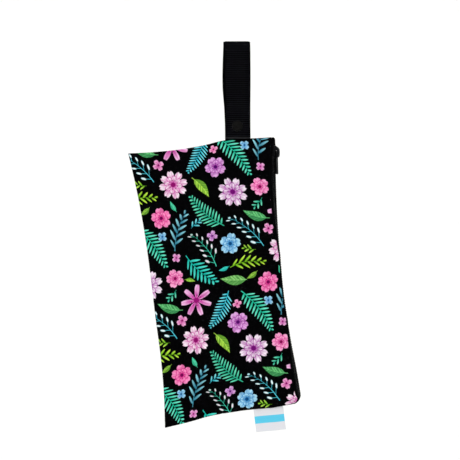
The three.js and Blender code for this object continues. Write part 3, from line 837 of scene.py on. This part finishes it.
scale = addNode(alongLine, "FunctionNodeRandomValue", scale, data_type="FLOAT").outputs[1]
shape = addNode(alongLine, "GeometryNodeObjectInfo", {"Object": given["Shape"]}).outputs["Geometry"]
stood = {"Points": spaced, "Instance": shape, "Rotation": turned, "Scale": scale}
ended(alongLine, given, addNode(alongLine, "GeometryNodeInstanceOnPoints", stood).outputs[0])


def shapesAlong(name, points, ups, shape, mat, pitch, vary=0.0, seed=3):
    line = newPiece(name, points, [], mat)
    line.data.edges.add(len(points) - 1)
    line.data.edges.foreach_set("vertices", [k for i in range(len(points) - 1) for k in (i, i + 1)])
    upwards = line.data.attributes.new("up", "FLOAT_VECTOR", "POINT")
    upwards.data.foreach_set("vector", np.asarray(ups, np.float32).ravel())
    line.data.update()
    return grown(line, alongLine, Shape=shape, Pitch=pitch * mm, Vary=vary, Seed=seed, Finish=mat)


# Closed tube along a path in the YZ or XZ plane, with a radius at each point
def tube(path, radii, planeNormal, sides):
    path, radii = np.asarray(path, float), np.asarray(radii, float)
    run = np.gradient(path, axis=0)
    run /= np.linalg.norm(run, axis=1, keepdims=True)
    aside = np.broadcast_to(np.asarray(planeNormal, float), path.shape)
    over = np.cross(run, aside)
    angles = 2 * np.pi * np.arange(sides) / sides
    rings = path[:, None] + radii[:, None, None] * (
        np.cos(angles)[None, :, None] * aside[:, None] + np.sin(angles)[None, :, None] * over[:, None]
    )
    faces = [face[::-1] for face in ringFaces(len(path), sides)]
    faces += [list(range(sides)), list(range((len(path) - 1) * sides, len(path) * sides))[::-1]]
    return rings.reshape(-1, 3), faces


# Strap: ribbed webbing up from the seam, over in a loop and down to its snapped free end
strap = dict(
    rowStep=0.4, columns=22, edge=0.8, selvedge=1.8, blur=0.4, ribPitch=2.4, ribDepth=0.42,
    yarn=0.9, sealed=2.4,
)
snap = dict(
    x=0.4, z=-94.8, cap=6.2, capRise=1.5, post=1.8, flange=4.3, stud=1.3, studLength=0.9,
    segments=56, sharp=40,
)
strapTurn = dict(lean=7, straight=9, ease=30, easeSteps=60, loopSteps=80)
strapHang = dict(topShift=-0.4, footShift=0.9, rearShift=-1.6, drawnIn=0.05)


def bezier(a, b, c, d, steps):
    t = np.linspace(0, 1, steps)[:, None]
    return (1 - t) ** 3 * a + 3 * t * (1 - t) ** 2 * b + 3 * t * t * (1 - t) * c + t**3 * d


# Side view of the strap's middle line, as points (y, z) one row step apart
def strapLine():
    radius = strapSizes["loopRadius"] + strapSizes["thick"] / 2
    straightTo = snap["z"] + strapTurn["straight"]
    lean, reach, spread = math.radians(strapTurn["lean"]), strapTurn["ease"], strapSizes["spread"]
    turn = np.array([radius * math.cos(lean), -strapSizes["loopRadius"] - radius * math.sin(lean)])
    near = turn - reach * np.array([math.sin(lean), math.cos(lean)])
    start = np.array([spread, straightTo])
    rise = bezier(start, start + [0, reach], near, turn, strapTurn["easeSteps"])
    arc = np.linspace(-lean, math.pi + lean, strapTurn["loopSteps"])[:, None]
    top = np.concatenate([radius * np.cos(arc), radius * np.sin(arc) - strapSizes["loopRadius"]], axis=1)
    fall = rise[::-1] * [-1, 1]
    line = np.concatenate([
        [[spread, strapSizes["sewnEnd"]]], rise, top[1:-1], fall, [[-spread, strapSizes["freeEnd"]]],
    ])
    run = np.concatenate([[0], np.cumsum(np.linalg.norm(np.diff(line, axis=0), axis=1))])
    even = np.linspace(0, run[-1], int(run[-1] / strap["rowStep"]) + 1)
    return even, np.stack([np.interp(even, run, line[:, k]) for k in range(2)], -1)


# The strap leans a little, cups narrower at the snap, and its rear run stands out on the left
def strapAcross(x, y, z):
    lean = between(strapHang["topShift"], strapHang["footShift"], np.clip(z / strapSizes["freeEnd"], 0, 1))
    rear = smoothstep(y, 0, strapSizes["loopRadius"] / 2) * np.sin(np.pi * np.clip(z / snap["z"], 0, 1))
    narrowed = 1 - strapHang["drawnIn"] * smoothstep(-z, strapSizes["width"], -snap["z"])
    return x * narrowed + lean + strapHang["rearShift"] * rear


# Polypropylene webbing: dull black ribs of bulky yarn between flat selvedges, heat-sealed grey at the cut;
# the ribs' crowns carry a painted highlight, and the valleys between them and the selvedges stay dark as
# painted shade
webbingLook = dict(
    layers=["000000", ("tone", "19191e"), ("sealed", "262628")], fuzz=0.625, bumps=0.3, depth=0.15,
)
webbing, tree, shader = newMaterial("Polypropylene webbing", Specular_IOR_Level=0.006)
along, line = strapLine()
# crown is how near a rib's top each point lies; lit lays a painted highlight on the crowns, so the valleys
# and the flat selvedges stay dark as painted shade
found = formulas(tree, dict(
    patternAt(tree, webbingLook["fuzz"], uvMap="ribbon"), yarn=strap["yarn"], pitch=strap["ribPitch"],
    half=strapSizes["width"] / 2 - strap["selvedge"], blur=strap["blur"],
    cut=float(along[-1]) - strap["sealed"],
), """
    crown = abs(sin(pi * y / pitch))
    body = 1 - smooth(abs(x), half - blur, half + blur)
    relief = sin(2 * pi * x / yarn) * (0.4 + 0.6 * crown)
    lit = smooth(crown, 0.66, 1) * (0.8 + 0.35 * relief)
    tone = (0.02 + 0.98 * lit * body) * (0.6 + 0.8 * uneven)
    sealed = smooth(y, cut, cut + 0.7) * (0.5 + 0.7 * uneven)
    rough = 0.72 + 0.16 * uneven
""")
finished(tree, shader, found, webbingLook["layers"], webbingLook["bumps"], webbingLook["depth"])

# the ribs are pressed into a smooth ribbon by Geometry Nodes, from each point's place along it
ribs, given = newTree(
    "webbingRibs", "GeometryNodeTree",
    dict(Ribbon="Geometry", Pitch="Float", Depth="Float", Finish="Material"), dict(Ribbon="Geometry"),
)
runs, body = (
    addNode(ribs, "GeometryNodeInputNamedAttribute", {"Name": name}, data_type="FLOAT").outputs[0]
    for name in ("along", "ribbed")
)
sunk = "sunk = Depth * body * (abs(sin(pi * runs / Pitch)) - 1)"
sunk = formulas(ribs, dict(given, runs=runs, body=body), sunk)["sunk"]
normal = addNode(ribs, "GeometryNodeInputNormal").outputs[0]
sink = addNode(ribs, "ShaderNodeVectorMath", {0: normal, "Scale": sunk}, operation="SCALE").outputs[0]
pressed = {"Geometry": given["Ribbon"], "Offset": sink}
ended(ribs, given, addNode(ribs, "GeometryNodeSetPosition", pressed).outputs[0])

aside = (crowded(strap["columns"]) - 0.5) * strapSizes["width"]
x = np.broadcast_to(aside[None, :], (len(along), len(aside)))
y, z = (np.broadcast_to(line[:, k : k + 1], x.shape) for k in range(2))
middle = np.stack([strapAcross(x, y, z), y, z], -1)
fromEnds = np.minimum(along, along[-1] - along)[:, None]
fromEdge = np.minimum(strapSizes["width"] / 2 - np.abs(x), fromEnds)
places = (x, np.broadcast_to(along[:, None], x.shape))
webbingStrap = ribbonPiece(
    "webbingStrap", middle, places, fromEdge, strapSizes["thick"], strap["edge"], -1, webbing, "ribbon",
)
inset = smoothstep(fromEdge, strap["selvedge"] - strap["blur"], strap["selvedge"] + strap["blur"])
addValues(webbingStrap, "along", np.tile(np.repeat(along, len(aside)), 2) * mm)
addValues(webbingStrap, "ribbed", np.tile(inset.ravel(), 2))
looseRemoved(outwards(webbingStrap))
grown(webbingStrap, ribs, Pitch=strap["ribPitch"] * mm, Depth=strap["ribDepth"] * mm, Finish=webbing)
settle(webbingStrap, "pouch", "webbing", "strap")
print("strap:", round(float(along[-1]), 1), "mm of webbing,", len(webbingStrap.data.polygons), "faces")


# Moulded acetal: hard, slightly waxy black caps with a soft gloss and fine moulding grain
acetalLook = dict(layers=["050504", ("tone", "0c0c0b")], grain=0.5, cast=4, bumps=0.12, depth=0.05)
acetal, tree, shader = newMaterial("Moulded acetal", Specular_IOR_Level=0.06, IOR=1.48)
grain, cast = patternAt(tree, acetalLook["grain"], 3.0), patternAt(tree, acetalLook["cast"])
patterns = dict(relief=grain["uneven"], tone=cast["uneven"])
found = formulas(tree, patterns, "rough = 0.3 + 0.14 * tone + 0.06 * relief")
finished(tree, shader, found, acetalLook["layers"], acetalLook["bumps"], acetalLook["depth"])

runInside = strapSizes["spread"] - strapSizes["thick"] / 2
capFoot = strapSizes["spread"] + strapSizes["thick"] / 2 + gap
capTop = capFoot + snap["capRise"]
# the rim is measured from the cap's edge and foot, and the dimple from its axis and top
capRim = [(-0.25, 0), (-0.05, 0.12), (0, 0.4)]
capDome = dict(steps=9, flat=0.55, low=0.4, below=0.02, fullness=0.8)
capDimple = [(2.604, 0), (1.7, -0.02), (1.35, -0.22), (0.6, -0.3), (0, -0.3)]


# Snap half turned about its axis: the core that mates, a flange, the post, and a domed cap with a dimple
def snapPiece(name, node, facing, radius, length):
    profile = [(0, length), (radius, length), (radius, gap / 2), (snap["flange"], gap / 2)]
    profile += [(snap["flange"], runInside - gap), (snap["post"], runInside - gap), (snap["post"], capFoot)]
    profile += [(snap["cap"] + r, capFoot + h) for r, h in capRim]
    low, high = capFoot + capDome["low"], capTop - capDome["below"]
    for angle in np.pi / 2 * np.arange(1, capDome["steps"]) / capDome["steps"]:
        wide = between(capDome["flat"], 1, math.cos(angle))
        profile.append((snap["cap"] * wide, between(low, high, math.sin(angle) ** capDome["fullness"])))
    profile += [(r, capTop + h) for r, h in capDimple]
    rings = turnedRings(profile, snap["segments"])
    points = np.array([snap["x"], 0, snap["z"]]) + rings[..., [0, 2, 1]] * [1, facing, 1]
    piece = outwards(newPiece(name, points, ringFaces(len(profile), snap["segments"]), acetal))
    return settle(sharpened(piece, snap["sharp"]), "pouch", "snap_plastic", node)


snapPiece("snapSocket", "snap_socket", -1, snap["stud"] + gap, snap["studLength"] + gap)
snapPiece("snapStud", "snap_stud", 1, snap["stud"], -snap["studLength"])
print("snap made")


# Zip: woven tapes under the hems, a spiral coil on them, and a lacquered slider with its pull
coilSizes = dict(width=2.25, rise=1.7, fromFoot=9, pitch=1.45, wire=0.42)
sliderSizes = dict(down=19.4, length=14.2, neckHalf=0.9, neckEnd=3.0)
tapeLook = dict(
    rows=200, columns=10, edge=0.45, yarn=0.8, fuzz=1 / 1.2, bumps=0.5, depth=0.1,
    layers=["000001", ("tone", "060608")],
)
tapeFace = -(pouch["wall"] + gap)
coilFoot = tapeFace + gap

# Woven polyester tape: dull black herringbone, tight and flat
tapeCloth, tree, shader = newMaterial("Woven polyester tape", Specular_IOR_Level=0.012)
found = formulas(tree, dict(patternAt(tree, tapeLook["fuzz"], uvMap="tape"), yarn=tapeLook["yarn"]), """
    chevron = abs(x / (2 * yarn) - floor(x / (2 * yarn)) - 0.5) * 2 * yarn
    relief = sin(2 * pi * (y + 2 * chevron) / yarn)
    tone = 0.5 * uneven + 0.25 + 0.2 * relief
    rough = 0.74 + 0.14 * uneven
""")
finished(tree, shader, found, tapeLook["layers"], tapeLook["bumps"], tapeLook["depth"])


def tapePiece(name, node, side):
    parted = sliderSizes["down"] + sliderSizes["length"] / 2
    first, last = zipSizes["tapeFromTop"] / zipLength, 1 - zipSizes["tapeFromFoot"] / zipLength
    v = between(first, last, crowded(tapeLook["rows"]))
    zf = zipFrame(v)
    meshed = smoothstep(downAt(1 + 0 * v, v), parted, parted + zipSizes["half"])
    inner = between(sliderSizes["neckHalf"] + gap, gap / 2, meshed)[:, None]
    outer = (zf["half"] - pouch["wall"] - gap)[:, None]
    across = between(outer, inner, crowded(tapeLook["columns"])[None, :])
    zfRows = {key: value[:, None] for key, value in zf.items()}
    points = zipPoint(zfRows, side * across, 0 * across + tapeFace - zipSizes["tape"] / 2)
    down = np.broadcast_to((v * zipLength)[:, None], across.shape)
    fromSides = np.minimum(across - inner, outer - across)
    fromEdge = np.minimum(fromSides, np.minimum(down - down[0], down[-1] - down))
    thick, edge = zipSizes["tape"], tapeLook["edge"]
    piece = ribbonPiece(name, hung(points), (across, down), fromEdge, thick, edge, side, tapeCloth, "tape")
    return settle(looseRemoved(outwards(piece)), "pouch", "zip_tape", node)


tapePiece("tapeFront", "zip_tape_front", 1)
tapePiece("tapeBack", "zip_tape_back", -1)

# Nylon monofilament: glossy, nearly black coil whose shine wavers a little along the wire
nylonLook = dict(layers=["040405", ("uneven", "0c0c0e")], grain=1.5)
nylon, tree, shader = newMaterial("Nylon monofilament", IOR=1.53, Specular_IOR_Level=0.06)
found = formulas(tree, patternAt(tree, nylonLook["grain"]), "rough = 0.26 + 0.2 * uneven")
finished(tree, shader, found, nylonLook["layers"])

# one turn of the coil, over its cord from side to side
coilLook = dict(steps=8, sides=6, slant=0.3, fromDegrees=-25, toDegrees=205, lowest=-0.05, vary=0.02)
cord = dict(steps=7, half=0.62, lift=0.05, rise=0.75, rows=240)
sweep = np.radians(np.linspace(coilLook["fromDegrees"], coilLook["toDegrees"], coilLook["steps"]))
turnRise = coilSizes["rise"] - 2 * coilSizes["wire"]
turnPath = np.stack([
    coilLook["slant"] * np.linspace(-1, 1, coilLook["steps"]),
    (coilSizes["width"] / 2 - coilSizes["wire"]) * np.cos(sweep),
    coilSizes["wire"] + turnRise * np.maximum(np.sin(sweep), coilLook["lowest"]),
], -1)
wire = np.full(coilLook["steps"], coilSizes["wire"])
coilTurn = outwards(newPiece("coilTurn", *tube(turnPath, wire, (1, 0, 0), coilLook["sides"]), nylon))


def coilPiece(name, node, side):
    belowNeck = sliderSizes["down"] - sliderSizes["length"] / 2 + sliderSizes["neckEnd"] + gap
    first = (belowNeck - float(topSeam(1.0))) / zipLength
    last = 1 - coilSizes["fromFoot"] / zipLength
    start = first + (coilSizes["wire"] + (coilSizes["pitch"] / 2 if side < 0 else 0)) / zipLength
    v = np.linspace(start, last - coilSizes["wire"] / zipLength, cord["rows"])
    zf = zipFrame(v)
    middle = gap / 2 + coilSizes["width"] / 2
    points = hung(zipPoint(zf, 0 * v + side * middle, 0 * v + coilFoot))
    ups = tilted(zf["out"], pouch["tilt"])
    turns = shapesAlong(name, points, ups, coilTurn, nylon, coilSizes["pitch"], coilLook["vary"])
    # the cord that the coil is wound on
    rows = []
    for angle in np.linspace(0, np.pi, cord["steps"]):
        across = side * (middle - cord["half"] * math.cos(angle))
        out = coilFoot + cord["lift"] + cord["rise"] * math.sin(angle)
        rows.append(zipPoint(zf, 0 * v + across, 0 * v + out))
    index = np.arange(len(v) * cord["steps"]).reshape(len(v), -1)
    foot = np.stack([index[:-1, 0], index[:-1, -1], index[1:, -1], index[1:, 0]], -1)
    faces = [*gridFaces(*index.shape), *foot, index[0], index[-1][::-1]]
    bead = outwards(newPiece(name + "Cord", hung(np.stack(rows, axis=1)), faces, nylon))
    reworked(turns, lambda bm: bm.from_mesh(bead.data))
    bpy.data.objects.remove(bead)
    return settle(turns, "pouch", "zip_coil", node)


coilPiece("coilFront", "zip_coil_front", 1)
coilPiece("coilBack", "zip_coil_back", -1)
bpy.data.objects.remove(coilTurn)
print("zip coil made")

# Lacquered zinc: die-cast, black lacquer worn a little brighter along its edges
zincLook = dict(layers=["020203", ("tone", "1b1b1e")], pits=0.7, bumps=0.15, depth=0.05)
casting = dict(weld=0.01, flat=1, sharp=20, shading=35, segments=3, sliderBevel=0.28, pullBevel=0.32)
zinc, tree, shader = newMaterial("Lacquered zinc", Specular_IOR_Level=0.025)
pits = patternAt(tree, zincLook["pits"], 4.0)["uneven"]
pointed = addNode(tree, "ShaderNodeNewGeometry").outputs["Pointiness"]
found = formulas(tree, dict(relief=pits, pointed=pointed), """
    tone = smooth(pointed + 0.06 * (relief - 0.5), 0.53, 0.62) * 0.6
    rough = 0.3 + 0.2 * relief
    metal = 0.2 * tone
""")
finished(tree, shader, found, zincLook["layers"], zincLook["bumps"], zincLook["depth"])
fed(tree, shader, {"Metallic": found["metal"]})


# Copy of a CAD node with its flats merged and its edges rounded over
def castCopy(name, node, body, bevel):
    def work(bm):
        bmesh.ops.remove_doubles(bm, verts=bm.verts, dist=casting["weld"] * mm)
        flat = math.radians(casting["flat"])
        bmesh.ops.dissolve_limit(bm, angle_limit=flat, verts=bm.verts, edges=bm.edges)
        sharp = [edge for edge in bm.edges if edge.calc_face_angle(0) > math.radians(casting["sharp"])]
        bmesh.ops.bevel(
            bm, geom=sharp, offset=bevel * mm, segments=casting["segments"], profile=0.5, affect="EDGES",
            clamp_overlap=True,
        )
        for face in bm.faces:
            face.smooth = True
            face.material_index = 0

    piece = reworked(newPiece(name, [], [], zinc), work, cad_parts[node].data)
    return settle(sharpened(piece, casting["shading"]), body, "zip_metal", node)


castCopy("zipSlider", "zip_slider", "pouch", casting["sliderBevel"])
castCopy("zipPull", "zip_pull", "pull", casting["pullBevel"])
print("slider and pull made")

# Polyester thread: fine twisted black yarn with a dull shine
threadLook = dict(layers=["050506", ("uneven", "121214")], twist=0.4)
thread, tree, shader = newMaterial("Polyester thread", Specular_IOR_Level=0.05)
found = formulas(tree, patternAt(tree, threadLook["twist"]), "rough = 0.55 + 0.2 * uneven")
finished(tree, shader, found, threadLook["layers"])

# Topstitching that holds the hems down on the zip tapes
stitch = dict(
    pitch=2.7, length=2.1, width=0.24, arch=0.16, lift=0.02, fromFold=1.75, hemShare=0.7, sides=6, vary=0.06,
    taper=[0.5, 0.9, 1, 0.9, 0.5], first=0.03, last=0.97, rows=300,
)
t = np.linspace(-1, 1, len(stitch["taper"]))
stitchPath = np.stack([t * stitch["length"] / 2, 0 * t, stitch["arch"] * (1 - t * t) + stitch["lift"]], -1)
stitchRadii = stitch["width"] * np.array(stitch["taper"])
stitchMesh = tube(stitchPath, stitchRadii, (0, 1, 0), stitch["sides"])
oneStitch = outwards(newPiece("oneStitch", *stitchMesh, thread))
for name, side in (("stitchesFront", 1), ("stitchesBack", -1)):
    v = np.linspace(stitch["first"], stitch["last"], stitch["rows"])
    zf = zipFrame(v)
    across = zf["half"] - np.minimum(stitch["fromFold"], zf["hem"] * stitch["hemShare"])
    points = hung(zipPoint(zf, side * across, 0 * v + stitch["lift"]))
    ups = tilted(zf["out"], pouch["tilt"])
    stitches = shapesAlong(name, points, ups, oneStitch, thread, stitch["pitch"], stitch["vary"])
    settle(stitches, "pouch", "zip_tape")
bpy.data.objects.remove(oneStitch)
print("hem stitches made")


# Label: one satin ribbon folded double, its cut ends caught in the bottom seam
label = dict(
    sheet=0.34, apart=0.3, rows=46, columns=20, edge=0.2, bowSteps=9, spring=0.9, springFrom=4, springOver=5,
)

# Polyester satin ribbon: bright white floats that shine softly across, with a plain woven stripe
satinLook = dict(
    yarn=0.5, stripeFrom=8.4, stripeTo=16.6, blur=0.15, fuzz=1.25, bumps=0.3, depth=0.06,
    layers=[["c8c9cf", ("tone", "d8d8de")], ("stripe", ["2fa8d0", ("tone", "5cc8e4")])],
)
satin, tree, shader = newMaterial("Polyester satin ribbon", Specular_IOR_Level=0.3, Sheen_Weight=0.05)
found = formulas(tree, dict(satinLook, **patternAt(tree, satinLook["fuzz"], uvMap="ribbon")), """
    past = smooth(y, stripeTo - blur, stripeTo + blur)
    stripe = smooth(y, stripeFrom - blur, stripeFrom + blur) * (1 - past)
    relief = sin(2 * pi * x / yarn) * (0.7 + 0.3 * sin(2 * pi * (y + 0.6 * x) / (3 * yarn)))
    tone = 0.55 + 0.3 * uneven + 0.12 * relief
    rough = 0.42 + 0.2 * uneven
""")
finished(tree, shader, found, satinLook["layers"], satinLook["bumps"], satinLook["depth"])

# down the front layer, round the fold and up the back one: how far below the seam, and how far to the front
layer = (label["apart"] + label["sheet"]) / 2
bottom = labelSizes["shows"] - label["apart"] / 2 - label["sheet"]
run = np.linspace(-labelSizes["sewn"], bottom, label["rows"])
bow = np.linspace(0, np.pi, label["bowSteps"])[1:-1]
below = np.concatenate([run, bottom + layer * np.sin(bow), run[::-1]])
forward = np.concatenate([0 * run + layer, layer * np.cos(bow), 0 * run - layer])
# the fold springs open a little
fromFold = np.concatenate([run, 0 * bow + bottom, run[::-1]]) - bottom
sprung = np.exp(-(((fromFold + label["springFrom"]) / label["springOver"]) ** 2))
forward = forward * (1 + label["spring"] * sprung)
t = crowded(label["columns"]) - 0.5
x = labelSizes["across"] + t[None, :] * labelSizes["width"] + 0 * below[:, None]
u = (x - leftEdge(1.0)) / (rightEdge(1.0) - leftEdge(1.0))
under = np.broadcast_to(below[:, None], x.shape)
curl = labelSizes["curl"] * (np.maximum(0, under) / labelSizes["shows"]) ** 2
roll = labelSizes["roll"] * (1 - (2 * t[None, :]) ** 2) * smoothstep(under, 0, labelSizes["shows"])
points = np.stack([x, -curl - roll - forward[:, None], -footSeam(u) - under], -1)
runs = np.concatenate([[0], np.cumsum(np.hypot(np.diff(below), np.diff(forward)))])
fromEnds = np.minimum(runs, runs[-1] - runs)[:, None]
fromEdge = np.minimum((0.5 - np.abs(t))[None, :] * labelSizes["width"], fromEnds)
ribbonLabel = ribbonPiece(
    "ribbonLabel", hung(points), (x, under), fromEdge, label["sheet"], label["edge"], 1, satin, "ribbon",
)
settle(looseRemoved(outwards(ribbonLabel)), "pouch", "label_ribbon", "label")
print("label made, cut", round(float(runs[-1]), 1), "mm long")


# Stage: one round dish of white paper, so that every view has the same ground
stage = dict(floor=-1.4, flat=2.4, bend=1.2, steps=16, wall=4.0, segments=96, sky=1.04, middle=(0, 0, -0.25))
profile = [(stage["flat"], 0.0)]
for angle in np.pi / 2 * np.arange(1, stage["steps"] + 1) / stage["steps"]:
    out, up = stage["bend"] * math.sin(angle), stage["bend"] * (1 - math.cos(angle))
    profile.append((stage["flat"] + out, up))
profile.append((stage["flat"] + stage["bend"], stage["wall"]))
paper = newMaterial("Matt white studio paper", Roughness=0.9, Base_Color=colour("fdfdfc"))[0]
dish = (turnedRings(profile, stage["segments"]) + [0, 0, stage["floor"]]) / mm
dishFaces = [face[::-1] for face in ringFaces(len(profile), stage["segments"])]
dishFaces.append(list(range(stage["segments"])))
newPiece("studioDish", dish, dishFaces, paper)

world = bpy.data.worlds.new("Studio")
bpy.context.scene.world = world
world.use_nodes = True
sky = world.node_tree.nodes["Background"]
fed(world.node_tree, sky, {"Color": colour("ffffff"), "Strength": stage["sky"]})

# Soft lights all round, so that each side has its own gentle shading
softLights = dict(
    key=dict(place=(-1.4, -1.7, 1.1), width=1.5, watts=14),
    fill=dict(place=(1.7, -1.2, 0.2), width=1.5, watts=5),
    back=dict(place=(0.6, 1.9, 1.0), width=1.5, watts=14),
)
for name, lamp in softLights.items():
    data = bpy.data.lights.new(name, "AREA")
    data.shape, data.size, data.energy = "DISK", lamp["width"], lamp["watts"]
    light = bpy.data.objects.new(name, data)
    bpy.context.scene.collection.objects.link(light)
    light.location = lamp["place"]
    towards = Vector(stage["middle"]) - Vector(lamp["place"])
    light.rotation_euler = towards.to_track_quat("-Z", "Y").to_euler()
    light.visible_camera = False

# Camera square to the bag's front, as far back as a short telephoto stands
view = dict(lens=85, width=0.5244, middle=(-0.008, -0.213))
cameraData = bpy.data.cameras.new("camera")
cameraData.lens = view["lens"]
camera = bpy.data.objects.new("camera", cameraData)
bpy.context.scene.collection.objects.link(camera)
back = view["width"] * view["lens"] / cameraData.sensor_width
camera.location = (view["middle"][0], -back, view["middle"][1])
camera.rotation_euler = (math.pi / 2, 0, 0)
bpy.context.scene.camera = camera
bpy.context.scene.view_settings.view_transform = "Standard"
